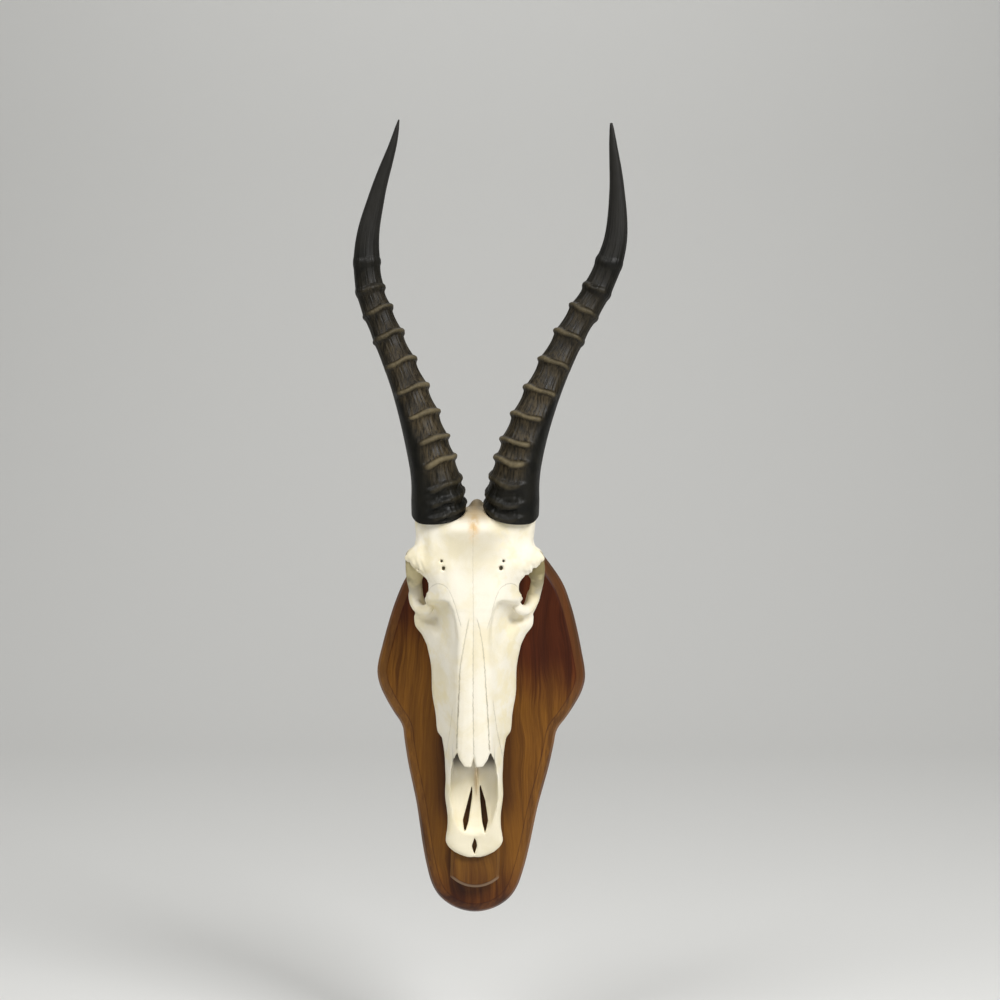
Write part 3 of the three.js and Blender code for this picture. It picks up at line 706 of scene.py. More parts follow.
def buildHorn(side):
    name = "left" if side < 0 else "right"
    coarse = 1
    sides = horn["sides"] // coarse
    top = horn[name][-1][2] - horn["cap"]
    body = np.arange(horn["seat"], top - 3, horn["step"] * coarse)
    z = np.concatenate([body, np.linspace(top - 3, top, 5)])
    centre, _, across, front, half = hornFrames(side, z)
    turn = 2 * np.pi * np.arange(sides) / sides
    cos, sin = np.cos(turn), np.sin(turn)
    inner = -side * cos
    height = z[:, None] + 0 * turn
    # The rings show in front and on the inner side, and further round towards the tip.
    facing = 0.9 * inner + 0.5 * sin
    reach = 0.02 - 1.3 * smoothStep(height, 185, 300)
    shown = smoothStep(facing, reach - 0.08, reach + 0.46) * (1 - 0.45 * smoothStep(-inner, 0.3, 1))
    crest = ringCrests(height, turn, horn[name + "Ridges"])
    ringed = smoothStep(height, 350, 300)
    grain, crumbs = hornSkin(height, turn)
    lift = (crest - 0.24 * ringed) * shown * horn["rise"] + 0.17 * grain * shown * ringed
    lift = lift + 0.3 * crumbs * shown + 0.1 * grain * (1 - ringed) * smoothStep(height, 440, 380)
    lift = lift * np.clip(half / 8, 0, 1)[:, None]
    lift[0] = 0
    keel = 1 + 0.07 * np.exp(-(((inner + 0.62) ** 2 + (sin - 0.78) ** 2) / 0.12))
    far = half[:, None] * keel + lift
    points = (
        centre[:, None, :]
        + across[:, None, :] * (far * cos)[..., None]
        + front[:, None, :] * (horn["oval"] * far * sin)[..., None]
    )
    rings = len(z)
    verts = np.vstack([points.reshape(-1, 3), centre[:1], centre[-1:] + [0, 0, horn["cap"]]])
    faces = []
    for k in range(rings - 1):
        a, b = k * sides, (k + 1) * sides
        for i in range(sides):
            j = (i + 1) % sides
            faces.append((b + j, b + i, a + i, a + j))
    last = (rings - 1) * sides
    for i in range(sides):
        j = (i + 1) % sides
        faces.append((rings * sides, j, i))
        faces.append((rings * sides + 1, last + i, last + j))
    ends = [0.0, 0.0]
    marks = {
        "crest": np.concatenate([(crest * shown).ravel(), ends]),
        "shown": np.concatenate([(shown * ringed).ravel(), ends]),
    }
    verts = verts * [1, -1, 1] * mm
    piece = meshPiece("hornSheath" + name.title(), verts, faces, "horn_" + name, marks)
    print("horn", name + ":", len(verts), "points")
    return piece


# The shield: half outline [half width, height] in its own upright frame; it hangs a little askew.
board = {
    "lean": 0.0315,
    "shift": 6.2,
    "sides": 240,
    "samples": 4000,
    "half": [
        [0, 118], [28, 113.5], [48, 101.5], [60, 88], [71, 72], [79, 52], [84.8, 32], [89.5, 12],
        [92.8, -4], [93.2, -13], [90.5, -24], [84.5, -36], [77, -48], [71.5, -55.5], [68.8, -61],
        [67, -72], [63, -93], [58.6, -111], [54.3, -129], [51, -147], [47.8, -165], [43.8, -183],
        [38.5, -200], [32, -210.5], [22, -218.5], [11, -223], [0, -224.5],
    ],
    # Steps of the edge from the back outwards: how far each goes forwards and inwards.
    "edge": [[11, 0], [5.5, 2.4], [3.1, 3.4], [2.4, 3.7]],
    "arris": 0.7,
    "hanger": {"radius": 5, "deep": 9, "x": 8.2, "z": 64, "slot": 16},
}
noseBlock = {
    "back": 22.35,
    "side": 11.85,
    "chamfer": 3.2,
    "half": 21.6,
    "top": -92,
    "corner": 4,
    "arc": 30.4,
    "arcZ": -167.5,
    "arcTurn": 0.79,
    "arris": 0.6,
}


def onBoard(u, depth, v):
    cos, sin = math.cos(board["lean"]), math.sin(board["lean"])
    return ((board["shift"] + u * cos + v * sin) * mm, -depth * mm, (v * cos - u * sin) * mm)


# A flat face over an outline of [u, v], ready to be drawn out towards the viewer.
def startSlab(outline, depth):
    deselectAll()
    bpy.ops.mesh.primitive_circle_add(vertices=len(outline), radius=0.1, fill_type="NGON")
    piece = bpy.context.object
    for vert, (u, v) in zip(piece.data.vertices, outline):
        vert.co = onBoard(u, depth, v)
    return piece


def drawOut(piece, steps):
    bpy.context.view_layer.objects.active = piece
    bpy.ops.object.mode_set(mode="EDIT")
    bpy.ops.mesh.select_all(action="SELECT")
    for forward, inward in steps:
        if inward:
            bpy.ops.mesh.inset(thickness=inward * mm, depth=forward * mm)
        else:
            move = {"value": (0, -forward * mm, 0)}
            bpy.ops.mesh.extrude_region_move(TRANSFORM_OT_translate=move)
    bpy.ops.mesh.select_all(action="SELECT")
    bpy.ops.mesh.normals_make_consistent(inside=False)
    bpy.ops.object.mode_set(mode="OBJECT")


def shadeFlatFaces(piece, degrees):
    deselectAll()
    piece.select_set(True)
    bpy.context.view_layer.objects.active = piece
    bpy.ops.object.shade_smooth_by_angle(angle=math.radians(degrees))


def buildBoard():
    left = [[-u, v] for u, v in board["half"][-2:0:-1]]
    ring = np.array(board["half"] + left, float)
    fine = curveThrough(ring, np.linspace(0, len(ring), board["samples"], endpoint=False), closed=True)
    walk = np.concatenate([[0], np.cumsum(np.linalg.norm(np.diff(fine, axis=0), axis=1))])
    stops = np.linspace(0, walk[-1], board["sides"], endpoint=False)
    outline = np.stack([np.interp(stops, walk, fine[:, a]) for a in (0, 1)], -1)[::-1]
    piece = startSlab(outline, 0)
    drawOut(piece, board["edge"])
    hanger = board["hanger"]
    deep = hanger["deep"] * mm
    deselectAll()
    bpy.ops.mesh.primitive_cylinder_add(
        vertices=32, radius=hanger["radius"] * mm, depth=2 * deep,
        location=(hanger["x"] * mm, 0, hanger["z"] * mm), rotation=(math.pi / 2, 0, 0),
    )
    pocket = bpy.context.object
    deselectAll()
    place = (hanger["x"] * mm, 0, (hanger["z"] + hanger["slot"] / 2) * mm)
    size = (hanger["radius"] * mm, 2 * deep, hanger["slot"] * mm)
    bpy.ops.mesh.primitive_cube_add(size=1, location=place, scale=size)
    slot = bpy.context.object
    applyModifier(piece, "BEVEL", width=board["arris"] * mm, segments=3, angle_limit=math.radians(13))
    for tool in (pocket, slot):
        applyModifier(piece, "BOOLEAN", object=tool, operation="DIFFERENCE")
        bpy.data.objects.remove(tool)
    shadeFlatFaces(piece, 24)
    print("shield:", len(piece.data.vertices), "points")
    return join(piece, "shieldBoard", "plaque")


def buildNoseBlock():
    arc, half, top, corner = [noseBlock[key] for key in ("arc", "half", "top", "corner")]
    turns = np.linspace(noseBlock["arcTurn"], -noseBlock["arcTurn"], 33)
    outline = [[-arc * math.sin(t), noseBlock["arcZ"] - arc * math.cos(t)] for t in turns]
    outline += [[half, top - corner], [half - corner, top], [corner - half, top], [-half, top - corner]]
    piece = startSlab(outline, noseBlock["back"])
    chamfer = noseBlock["chamfer"]
    drawOut(piece, [[noseBlock["side"], 0], [chamfer, chamfer]])
    applyModifier(piece, "BEVEL", width=noseBlock["arris"] * mm, segments=3, angle_limit=math.radians(25))
    shadeFlatFaces(piece, 30)
    print("nose block:", len(piece.data.vertices), "points")
    return join(piece, "noseBlockWood", "nose_block")


cheekTeeth = {
    # z, length, width and x of each tooth of one side, front to back.
    "row": [
        [-29, 7.4, 6.6, 23.6], [-20, 9.4, 7.8, 25.8], [-9.6, 10.2, 8.6, 27.4], [3, 13.6, 9.6, 28.6],
        [19.5, 17.6, 10.2, 29.5], [38.5, 18.6, 9.8, 29.3],
    ],
    "root": 50,
    "rootSize": 0.86,
    "crown": 22.8,
    "crownSize": 0.94,
    "lobe": 0.16,
    "rim": 0.9,
    "wear": 1.1,
    "wearSlope": 0.7,
    "arris": 0.35,
    "sideGap": 0.4,
    "endGap": 0.5,
}


# A cheek tooth: a two-lobed column with a worn, hollowed crown towards the board.
def buildTooth(number, side, stops):
    z, length, width, x = stops
    deselectAll()
    bpy.ops.mesh.primitive_cylinder_add(vertices=36, radius=1, depth=1, end_fill_type="NGON")
    piece = bpy.context.object
    for vert in piece.data.vertices:
        turn = math.atan2(vert.co.y, vert.co.x)
        lobes = 1 - cheekTeeth["lobe"] * math.exp(-((abs(turn) - math.pi / 2) ** 2) / 0.05)
        along = math.copysign(abs(math.cos(turn)) ** 0.7, math.cos(turn)) * length / 2
        across = math.copysign(abs(math.sin(turn)) ** 0.8, math.sin(turn)) * width / 2 * lobes
        end = "crown" if vert.co.z < 0 else "root"
        size = cheekTeeth[end + "Size"]
        vert.co = ((side * x + across * size) * mm, -cheekTeeth[end] * mm, (z + along * size) * mm)
    bpy.ops.object.mode_set(mode="EDIT")
    bpy.ops.mesh.select_all(action="SELECT")
    bpy.ops.mesh.normals_make_consistent(inside=False)
    bpy.ops.mesh.select_all(action="DESELECT")
    bpy.ops.object.mode_set(mode="OBJECT")
    for face in piece.data.polygons:
        face.select = face.normal.y > 0.9
    bpy.ops.object.mode_set(mode="EDIT")
    bpy.ops.mesh.select_mode(type="FACE")
    bpy.ops.mesh.inset(thickness=cheekTeeth["rim"] * mm, depth=0)
    bpy.ops.mesh.inset(thickness=cheekTeeth["wearSlope"] * mm, depth=-cheekTeeth["wear"] * mm)
    bpy.ops.mesh.select_all(action="DESELECT")
    bpy.ops.object.mode_set(mode="OBJECT")
    applyModifier(piece, "BEVEL", width=cheekTeeth["arris"] * mm, segments=2, angle_limit=math.radians(35))
    shadeFlatFaces(piece, 40)
    name = ("left", "right")[side > 0]
    node = "tooth_" + name + "_" + str(number)
    return join(piece, "cheekTooth" + name.title() + str(number), node)


def material(name):
    made = bpy.data.materials.new(name)
    made.use_nodes = True
    nodes = made.node_tree.nodes
    nodes.clear()
    shader = nodes.new("ShaderNodeBsdfPrincipled")
    output = nodes.new("ShaderNodeOutputMaterial")
    made.node_tree.links.new(shader.outputs[0], output.inputs[0])
    return made, made.node_tree, shader


# Short ways to add the nodes of one tree and join them.
class Nodes:
    def __init__(self, tree):
        self.tree = tree

    def add(self, kind, inputs=None, **settings):
        node = self.tree.nodes.new(kind)
        for key, value in settings.items():
            setattr(node, key, value)
        for key, value in (inputs or {}).items():
            self.put(value, node.inputs[key])
        return node

    def put(self, value, socket):
        if isinstance(value, bpy.types.NodeSocket):
            self.tree.links.new(value, socket)
        else:
            socket.default_value = value

    def math(self, operation, a, b=0.0, c=0.0):
        node = self.add("ShaderNodeMath", {0: a, 1: b, 2: c}, operation=operation)
        return node.outputs[0]

    def product(self, first, *others):
        for other in others:
            first = self.math("MULTIPLY", first, other)
        return first

    def mix(self, factor, a, b):
        node = self.add("ShaderNodeMix", data_type="RGBA")
        self.put(factor, node.inputs[0])
        self.put(a, node.inputs[6])
        self.put(b, node.inputs[7])
        return node.outputs[2]

    def noise(self, vector, scale, detail=3.0, rough=0.5, distortion=0.0):
        values = {"Vector": vector, "Scale": scale, "Detail": detail, "Roughness": rough}
        return self.add("ShaderNodeTexNoise", values | {"Distortion": distortion}).outputs[0]

    def range(self, value, low, high, toLow=0.0, toHigh=1.0, smooth=True):
        kind = "SMOOTHSTEP" if smooth else "LINEAR"
        values = {"Value": value, "From Min": low, "From Max": high, "To Min": toLow, "To Max": toHigh}
        return self.add("ShaderNodeMapRange", values, interpolation_type=kind).outputs[0]

    # Object coordinates, in mm unless another scale is given.
    def object(self, scale=(1000, 1000, 1000), move=(0, 0, 0)):
        place = self.add("ShaderNodeTexCoord").outputs["Object"]
        return self.add("ShaderNodeMapping", {"Vector": place, "Location": move, "Scale": scale}).outputs[0]

    # The place on a piece in mm: x, depth, z, and |x| as side.
    def axes(self):
        x, y, z = self.add("ShaderNodeSeparateXYZ", {0: self.object()}).outputs
        return {"x": x, "side": self.math("ABSOLUTE", x), "depth": self.math("MULTIPLY", y, -1.0), "z": z}

    # How far a place lies within a region: its ramps along the axes, times its amount.
    def region(self, axes, ramps):
        amount = ramps["amount"]
        for axis in ("side", "depth", "z"):
            for low, high in ramps.get(axis, []):
                amount = self.math("MULTIPLY", self.range(axes[axis], low, high), amount)
        return amount

    def group(self, tree, inputs):
        return self.add("ShaderNodeGroup", inputs, node_tree=tree).outputs[0]

    def attribute(self, name):
        return self.add("ShaderNodeAttribute", attribute_name=name).outputs["Fac"]


# A node tree to place in several materials: inputs are (label, kind, value), outputs (label, kind).
def shaderGroup(name, inputs, outputs):
    tree = bpy.data.node_groups.new(name, "ShaderNodeTree")
    for label, kind, value in inputs:
        socket = tree.interface.new_socket(name=label, in_out="INPUT", socket_type="NodeSocket" + kind)
        if value is not None:
            socket.default_value = value
    for label, kind in outputs:
        tree.interface.new_socket(name=label, in_out="OUTPUT", socket_type="NodeSocket" + kind)
    n = Nodes(tree)
    return tree, n, n.add("NodeGroupInput").outputs, n.add("NodeGroupOutput").inputs


# Blotches of age on bone, teeth and horn.
def agePatches():
    inputs = [("Place", "Vector", None), ("Scale", "Float", 0.05)]
    inputs += [("Low", "Float", 0.35), ("High", "Float", 0.65)]
    tree, n, given, made = shaderGroup("agePatches", inputs, [("Mask", "Float")])
    blotch = n.noise(given["Place"], given["Scale"], 4, 0.6, 0.4)
    n.put(n.range(blotch, given["Low"], given["High"]), made["Mask"])
    return tree


# Upright grain of stained timber: slow figured bands and thin fibres.
def woodFigure():
    inputs = [("Place", "Vector", None), ("Swirl", "Float", 60.0)]
    tree, n, given, made = shaderGroup("woodFigure", inputs, [("Bands", "Float"), ("Fibres", "Float")])
    x, y, z = n.add("ShaderNodeSeparateXYZ", {0: given["Place"]}).outputs
    slow = n.add("ShaderNodeVectorMath", operation="MULTIPLY")
    n.put(given["Place"], slow.inputs[0])
    n.put((0.011, 0.011, 0.0045), slow.inputs[1])
    bend = n.product(n.noise(slow.outputs[0], 1.0, 3, 0.5), given["Swirl"])
    across = n.math("ADD", n.math("ADD", x, bend), n.product(y, 0.6))
    flow = n.add("ShaderNodeCombineXYZ", {0: across, 1: y, 2: n.product(z, 0.035)})
    n.put(n.noise(flow.outputs[0], 0.085, 3, 0.55, 0.35), made["Bands"])
    n.put(n.noise(flow.outputs[0], 0.75, 4, 0.7), made["Fibres"])
    return tree


# Sutures of the face: along z (or x) and across it, in mm, with the line's half width.
sutures = {
    "upright": [
        ([[-74, 0.2], [-10, -0.2], [44, 0.3]], 0.45, 0.75),
        ([[40, 0.3], [70, -0.1], [100, -0.2], [124, 0.2]], 0.35, 0.55),
        ([[-69, -14.5], [-42, -13.5], [-16, -12.1], [-3, -11.6], [22, -7.8], [44, -3.5]], 0.55, 1.0),
        ([[-70, 13.7], [-42, 12.5], [-16, 10.8], [18, 8.3], [44, 3.3]], 0.5, 0.95),
        ([[-79, 25.3], [-55, 20.5], [-27, 16.7]], 0.4, 0.5),
        ([[-79, -25], [-55, -20.8], [-34, -18]], 0.35, 0.3),
        ([[38, -10.4], [50, -13.6], [60, -16.6], [68, -20.2]], 0.4, 0.75),
        ([[36, 12], [48, 15.6], [60, 18.4], [68, 21.6]], 0.4, 0.75),
    ],
    "level": [
        ([[-37, 69.4], [-33.5, 73], [-29.5, 74.2], [-25, 73], [-20.4, 68.4]], 0.45, 0.8),
        ([[21.6, 68.2], [25.5, 72.4], [31, 74.3], [35, 73.4], [38, 70]], 0.45, 0.8),
    ],
}


# A thin line on the bone through the stops: how far each place lies on it, 0 to 1.
def seamLine(n, along, across, stops, half):
    a = [stop[0] for stop in stops]
    b = [stop[1] for stop in stops]
    low, span = min(b) - 1, max(b) - min(b) + 2
    node = n.add("ShaderNodeFloatCurve", {1: n.range(along, a[0], a[-1], smooth=False)})
    points = node.mapping.curves[0].points
    points[0].location = (0, (b[0] - low) / span)
    points[1].location = (1, (b[-1] - low) / span)
    for here, there in stops[1:-1]:
        points.new((here - a[0]) / (a[-1] - a[0]), (there - low) / span)
    node.mapping.update()
    line = n.math("MULTIPLY_ADD", node.outputs[0], span, low)
    off = n.math("ABSOLUTE", n.math("SUBTRACT", across, line))
    ends = n.product(n.range(along, a[0] - 2, a[0] + 2), n.range(along, a[-1] + 2, a[-1] - 2))
    return n.product(n.range(off, 1.6 * half, 0.4 * half), ends)


bone = {
    "cream": (0.85, 0.8, 0.675, 1),
    "ivory": (0.78, 0.7, 0.49, 1),
    "pore": (0.66, 0.6, 0.46, 1),
    "tinge": (0.78, 0.68, 0.4, 1),
    # Painted shade where the skin is shut in.
    "hollowShade": (0.5, 0.46, 0.33, 1),
    "shade": (0.3, 0.26, 0.17, 1),
    # Painted shade under the brow rim.
    "orbit": (0.22, 0.18, 0.08, 1),
    "stain": (0.62, 0.4, 0.17, 1),
    # A brown stain with painted shade, on the bone between the horns.
    "crown": (0.3, 0.225, 0.12, 1),
    "seam": (0.3, 0.25, 0.17, 1),
    # Painted shade in the nose cavity's corners.
    "caveShade": (0.05, 0.035, 0.02, 1),
}
# Where the bone is stained, and where shade is painted on it: ramps in mm along |x|, depth and z, and how
# strongly.
boneRegions = {
    "cheek": {"side": [(16, 24)], "amount": 0.5},
    # Painted shade under the brow rim, over the orbit's wall and the bar's top.
    "orbit": {
        "side": [(38, 43)], "depth": [(104.5, 99), (62, 74)], "z": [(50, 84), (104, 98)], "amount": 1,
    },
    "brow": {"depth": [(80, 100)], "z": [(104, 122)], "amount": 0.85},
    # A brown stain with painted shade, on the bone between the horns.
    "crown": {"side": [(22, 10)], "depth": [(74, 90)], "z": [(121, 134)], "amount": 0.9},
    # Painted shade in the nose cavity's corners.
    "caveShade": {
        "side": [(2, 9), (18.8, 17.6)], "depth": [(78, 73)], "z": [(-95, -80), (-40, -60)], "amount": 0.92,
    },
    "vomer": {"z": [(-128, -100), (-86, -92)], "amount": 0.5},
}


def boneMaterial(patchGroup):
    made, tree, shader = material("bleachedBone")
    n = Nodes(tree)
    place = n.object()
    axes = n.axes()
    x, depth, z = axes["x"], axes["depth"], axes["z"]
    zone = {name: n.region(axes, ramps) for name, ramps in boneRegions.items()}
    pores = n.noise(place, 0.9, 3, 0.6)
    fine = n.noise(place, 3.2, 2, 0.6)
    blot = n.range(n.noise(place, 0.16, 3, 0.6), 0.38, 0.6, 0.35, 1.0)
    patches = n.group(patchGroup, {"Place": place, "Scale": 0.035, "Low": 0.4, "High": 0.7})
    colour = n.mix(n.product(patches, 0.8), bone["cream"], bone["ivory"])
    colour = n.mix(n.range(pores, 0.5, 0.8, 0, 0.25), colour, bone["pore"])
    # Painted shade darkens the bone where the skin is shut in, and hardly on the snout.
    shut = n.range(z, -92, -70, 0.12, 0.75)
    colour = n.mix(n.product(n.range(n.attribute("hollow"), 0.52, 0.8), shut, 0.67), colour, bone["hollowShade"])
    colour = n.mix(n.product(n.range(n.attribute("deep"), 0.45, 0.85), shut), colour, bone["shade"])
    colour = n.mix(n.range(z, -90, -106, 0, 0.35), colour, bone["tinge"])
    # Painted shade under the brow rim.
    colour = n.mix(zone["orbit"], colour, bone["orbit"])
    cheek = n.product(n.range(n.noise(place, 0.05, 3, 0.6), 0.45, 0.62), zone["cheek"])
    colour = n.mix(cheek, colour, bone["tinge"])
    middle = n.range(n.math("ABSOLUTE", n.math("SUBTRACT", x, 0.6)), 7, 0.5)
    colour = n.mix(n.product(middle, blot, zone["brow"]), colour, bone["stain"])
    # A brown stain with painted shade, on the bone between the horns.
    colour = n.mix(zone["crown"], colour, bone["crown"])
    # Painted shade in the nose cavity's corners.
    colour = n.mix(zone["caveShade"], colour, bone["caveShade"])
    ridge = n.range(n.math("ABSOLUTE", n.math("SUBTRACT", x, 2)), 3.2, 0.4)
    colour = n.mix(n.product(ridge, zone["vomer"]), colour, bone["stain"])
    # Sutures wander a little, and lie on the front of the face alone.
    wander = n.math("MULTIPLY_ADD", n.noise(place, 0.35, 3, 0.6), 1.5, -0.75)
    front = n.range(n.math("SUBTRACT", depth, n.range(z, 0, 60, 0, 35)), 50, 62)
    seams = 0.0
    for kind, along, across in (("upright", z, x), ("level", x, z)):
        for stops, half, strength in sutures[kind]:
            line = seamLine(n, along, n.math("ADD", across, wander), stops, half)
            seams = n.math("MAXIMUM", n.product(line, strength), seams)
    seams = n.product(seams, front)
    faint = n.product(n.range(z, 30, -30, 0.42, 0.75), n.range(blot, 0.3, 1, 0.75, 1.1))
    colour = n.mix(n.product(seams, faint), colour, bone["seam"])
    tree.links.new(colour, shader.inputs["Base Color"])
    shader.inputs["Roughness"].default_value = 0.55
    shader.inputs["Specular IOR Level"].default_value = 0.35
    height = n.math("ADD", n.product(pores, 0.4), n.product(fine, 0.2))
    height = n.math("SUBTRACT", height, n.product(seams, 0.8))
    bump = n.add("ShaderNodeBump", {"Height": height, "Strength": 0.3, "Distance": 0.0006})
    tree.links.new(bump.outputs[0], shader.inputs["Normal"])
    return made


hornTones = {
    "black": (0.0022, 0.0022, 0.0015, 1),
    "faded": (0.0075, 0.0068, 0.0045, 1),
    "umber": (0.009, 0.0065, 0.0035, 1),
    "olive": (0.066, 0.049, 0.025, 1),
    "worn": (0.135, 0.108, 0.06, 1),
    "tip": (0.019, 0.018, 0.016, 1),
}


# Black horn that shows olive between the rings and is worn tan along their crests.
def hornMaterial(patchGroup):
    made, tree, shader = material("ridgedHorn")
    n = Nodes(tree)
    z = n.axes()["z"]
    patches = n.group(patchGroup, {"Place": n.object(), "Scale": 0.07, "Low": 0.3, "High": 0.66})
    streaks = n.noise(n.object((620, 620, 75)), 1.0, 4, 0.65)
    black = n.mix(patches, hornTones["black"], hornTones["faded"])
    olive = n.mix(n.range(streaks, 0.32, 0.68), hornTones["umber"], hornTones["olive"])
    high = n.range(z, 205, 330)
    body = n.product(n.attribute("shown"), n.range(z, 148, 178), n.math("MULTIPLY_ADD", patches, 0.6, 0.35))
    body = n.product(body, n.math("MULTIPLY_ADD", high, -0.62, 1.0))
    colour = n.mix(body, black, olive)
    worn = n.product(n.range(n.attribute("crest"), 0.45, 1.05), n.range(z, 142, 176, 0.3, 1.0))
    worn = n.product(worn, n.math("MULTIPLY_ADD", patches, 0.45, 0.5))
    worn = n.product(worn, n.math("MULTIPLY_ADD", high, -0.5, 1.0))
    colour = n.mix(worn, colour, hornTones["worn"])
    colour = n.mix(n.product(n.range(z, 335, 385), 0.75), colour, hornTones["tip"])
    tree.links.new(colour, shader.inputs["Base Color"])
    rough = n.math("ADD", n.range(streaks, 0.3, 0.7, 0.36, 0.54), n.product(worn, 0.15))
    tree.links.new(rough, shader.inputs["Roughness"])
    shader.inputs["Specular IOR Level"].default_value = 0.16
    bump = n.add("ShaderNodeBump", {"Height": streaks, "Strength": 0.2, "Distance": 0.0008})
    tree.links.new(bump.outputs[0], shader.inputs["Normal"])
    return made


# The wood is darker on both sides of the snout: ramps in mm, as for the bone.
besideSnout = {"side": [(46, 27)], "depth": [(4, 12)], "z": [(-152, -118), (-20, -60)], "amount": 0.7}


# Tones run from dark to light; the golden tone shows low on the left where the stain is thin.
def woodMaterial(name, figureGroup, tones, shift, rim):
    made, tree, shader = material(name)
    n = Nodes(tree)
    figure = n.add("ShaderNodeGroup", node_tree=figureGroup)
    n.put(n.object(move=shift), figure.inputs["Place"])
    bands, fibres = figure.outputs["Bands"], figure.outputs["Fibres"]
    axes = n.axes()
    x, depth, z = axes["x"], axes["depth"], axes["z"]
    tone = n.math("ADD", n.product(bands, 0.75), n.product(fibres, 0.25))
    cloud = n.math("MULTIPLY_ADD", n.noise(n.object((12, 12, 9), shift), 1.0, 2, 0.5), 120.0, -60.0)
    lower = n.range(n.math("ADD", n.math("MULTIPLY_ADD", x, 0.25, z), cloud), 32, -32)
    lower = n.product(lower, n.range(z, -212, -170, 0.35, 1.0))
    colour = n.mix(lower, tones["light"], tones["golden"])
    lit = n.math("MULTIPLY_ADD", lower, 0.13, tone)
    colour = n.mix(n.range(lit, 0.36, 0.72), tones["dark"], colour)
    colour = n.mix(n.range(fibres, 0.62, 0.42, 0, 0.2), colour, tones["dark"])
    colour = n.mix(n.region(axes, besideSnout), colour, tones["dark"])
    # The rubbed chamfer with a painted highlight where light catches it, and a dark line along its front
    # arris.
    front = rim["front"]
    edge = n.product(n.range(depth, front - 0.3, front - 1.1), n.range(depth, *rim["fade"]))
    edge = n.product(edge, n.range(z, *rim["low"]), rim["amount"])
    colour = n.mix(edge, colour, tones["edge"])
    arris = n.product(n.range(depth, front, front - 0.2), n.range(depth, front - 0.7, front - 0.4), 0.5)
    colour = n.mix(arris, colour, tones["dark"])
    tree.links.new(colour, shader.inputs["Base Color"])
    tree.links.new(n.range(fibres, 0.3, 0.7, 0.3, 0.44), shader.inputs["Roughness"])
    shader.inputs["Specular IOR Level"].default_value = 0.16
    shader.inputs["Coat Weight"].default_value = 0.05
    shader.inputs["Coat Roughness"].default_value = 0.25
    bump = n.add("ShaderNodeBump", {"Height": fibres, "Strength": 0.12, "Distance": 0.0004})
    tree.links.new(bump.outputs[0], shader.inputs["Normal"])
    return made


enamelTones = {"clean": (0.74, 0.67, 0.5, 1), "stained": (0.58, 0.47, 0.29, 1)}


def toothMaterial(patchGroup):
    made, tree, shader = material("oldEnamel")
    n = Nodes(tree)
    patches = n.group(patchGroup, {"Place": n.object(), "Scale": 0.12})
    colour = n.mix(patches, enamelTones["clean"], enamelTones["stained"])
    tree.links.new(colour, shader.inputs["Base Color"])
    shader.inputs["Roughness"].default_value = 0.35
    return made


def dress(piece, made):
    piece.data.materials.clear()
    piece.data.materials.append(made)


stage = {
    "floor": -0.36,
    "front": -5.0,
    "back": 3.6,
    "wide": 14.0,
    "tall": 5.0,
    "bend": 1.5,
    "paint": (0.72, 0.72, 0.705, 1),
    "sky": (1.0, 0.99, 0.96, 1),
    "skyStrength": 0.28,
}


# A pale floor that curves up behind the object, in metres.
def addStage():
    deselectAll()
    deep = stage["back"] - stage["front"]
    middle = (stage["back"] + stage["front"]) / 2
    bpy.ops.mesh.primitive_plane_add(size=1, location=(0, middle, stage["floor"]))
    floor = bpy.context.object
    for vert in floor.data.vertices:
        vert.co.x *= stage["wide"]
        vert.co.y *= deep
    bpy.ops.object.mode_set(mode="EDIT")
    bpy.ops.mesh.select_all(action="DESELECT")
    bpy.ops.object.mode_set(mode="OBJECT")
    for edge in floor.data.edges:
        edge.select = all(floor.data.vertices[v].co.y > 0 for v in edge.vertices)
    bpy.ops.object.mode_set(mode="EDIT")
    bpy.ops.mesh.select_mode(type="EDGE")
    bpy.ops.mesh.extrude_region_move(TRANSFORM_OT_translate={"value": (0, 0, stage["tall"])})
    bpy.ops.object.mode_set(mode="OBJECT")
    applyModifier(floor, "BEVEL", width=stage["bend"], segments=24, angle_limit=math.radians(40))
    shadeFlatFaces(floor, 60)
    floor.name = "paleFloor"
    made, _, shader = material("paleFloor")
    shader.inputs["Base Color"].default_value = stage["paint"]
    shader.inputs["Roughness"].default_value = 0.9
    dress(floor, made)
    world = bpy.data.worlds.new("studio")
    bpy.context.scene.world = world
    world.use_nodes = True
    sky = world.node_tree.nodes["Background"].inputs
    sky[0].default_value = stage["sky"]
    sky[1].default_value = stage["skyStrength"]
    print("stage")


lights = {
    "keyRight": {"place": (1.0, -1.45, 1.15), "target": (0, -0.05, 0.1), "size": 0.7, "power": 35},
    "keyLeft": {"place": (-0.85, -1.25, 1.5), "target": (0, -0.05, 0.1), "size": 0.8, "power": 19},
    "backdropTop": {"place": (0, 1.4, 3.2), "target": (0, 2.6, 0.5), "size": 2.4, "power": 36},
}


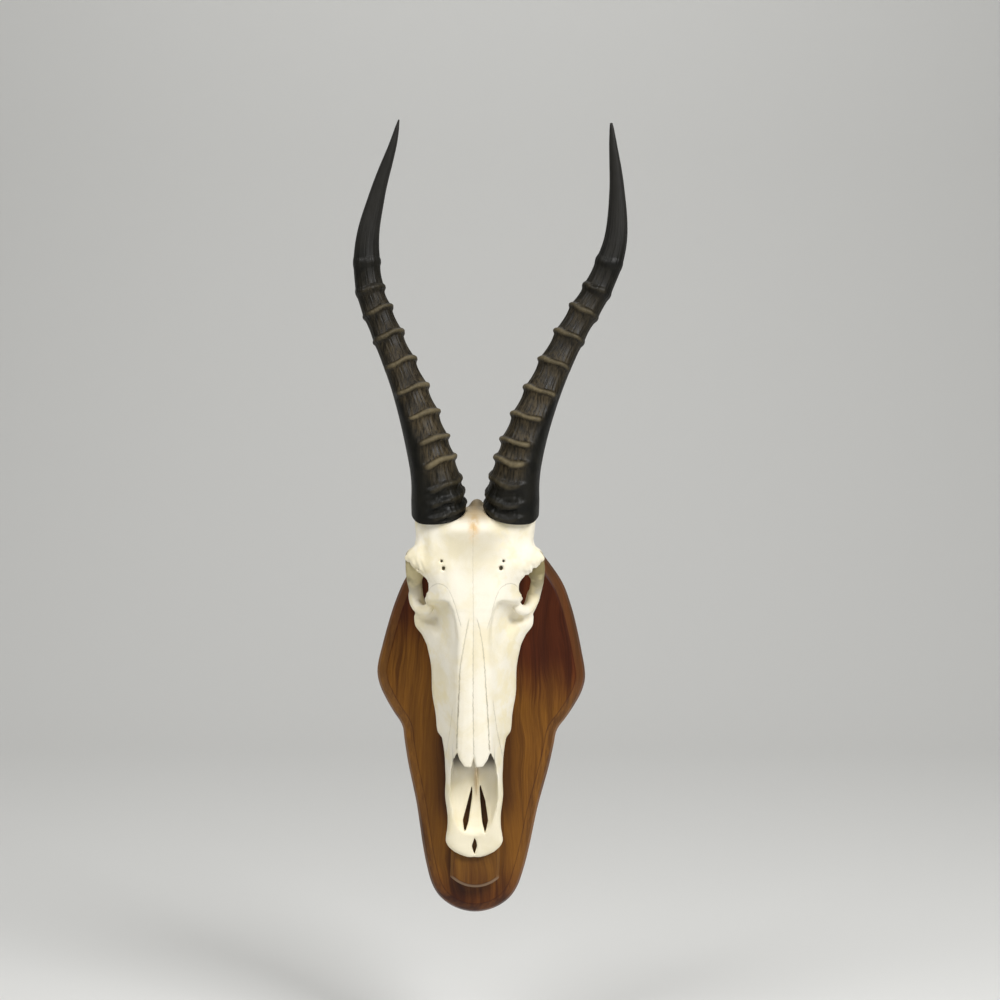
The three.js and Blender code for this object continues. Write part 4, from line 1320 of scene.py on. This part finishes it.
def addLights():
    for name, light in lights.items():
        data = bpy.data.lights.new(name, "AREA")
        data.energy = light["power"]
        data.size = light["size"]
        obj = bpy.data.objects.new(name, data)
        obj.location = light["place"]
        way = np.array(light["target"]) - np.array(light["place"])
        pitch = math.atan2(way[2], math.hypot(way[0], way[1]))
        obj.rotation_euler = (math.pi / 2 + pitch, 0, -math.atan2(way[0], way[1]))
        bpy.context.scene.collection.objects.link(obj)
    print("lights")


camera = {"distance": 1700, "x": 22.7, "z": 145, "lens": 67.75, "sensor": 36}


def addCamera():
    data = bpy.data.cameras.new("photoCamera")
    data.lens = camera["lens"]
    data.sensor_width = camera["sensor"]
    obj = bpy.data.objects.new("photoCamera", data)
    obj.location = (camera["x"] * mm, -camera["distance"] * mm, camera["z"] * mm)
    obj.rotation_euler = (math.pi / 2, 0, 0)
    bpy.context.scene.collection.objects.link(obj)
    bpy.context.scene.camera = obj
    print("camera")


boardTones = {
    "dark": (0.032, 0.006, 0.0012, 1),
    "light": (0.1, 0.021, 0.0035, 1),
    "golden": (0.21, 0.084, 0.0095, 1),
    # The chamfer's rubbed tone, lighter with a painted highlight.
    "edge": (0.15, 0.072, 0.024, 1),
}
blockTones = {
    "dark": (0.06, 0.018, 0.0035, 1),
    "light": (0.14, 0.05, 0.008, 1),
    "golden": (0.165, 0.07, 0.0095, 1),
    # The chamfer's rubbed tone, lighter with a painted highlight.
    "edge": (0.26, 0.17, 0.1, 1),
}
# Where the chamfer is lighter: rubbed wood and a painted highlight, on the board's upper bevel and the
# block's bottom chamfer.
boardRimHighlight = {"front": 22, "fade": (9, 12), "low": (-70, 0), "amount": 0.35}
blockRimHighlight = {"front": 37.4, "fade": (33.9, 34.4), "low": (-186, -191), "amount": 0.7}
patchGroup = agePatches()
figureGroup = woodFigure()
boneSurface = boneMaterial(patchGroup)
hornSurface = hornMaterial(patchGroup)
enamel = toothMaterial(patchGroup)
dress(buildSkull(), boneSurface)
for side in (-1, 1):
    dress(buildHorn(side), hornSurface)
    for number, tooth in enumerate(cheekTeeth["row"], 1):
        dress(buildTooth(number, side, tooth), enamel)
print("cheek teeth")
dress(buildBoard(), woodMaterial("boardWood", figureGroup, boardTones, (0, 0, 0), boardRimHighlight))
dress(buildNoseBlock(), woodMaterial("blockWood", figureGroup, blockTones, (60, 10, 33), blockRimHighlight))
addStage()
addLights()
addCamera()
bpy.context.scene.view_settings.view_transform = "Standard"
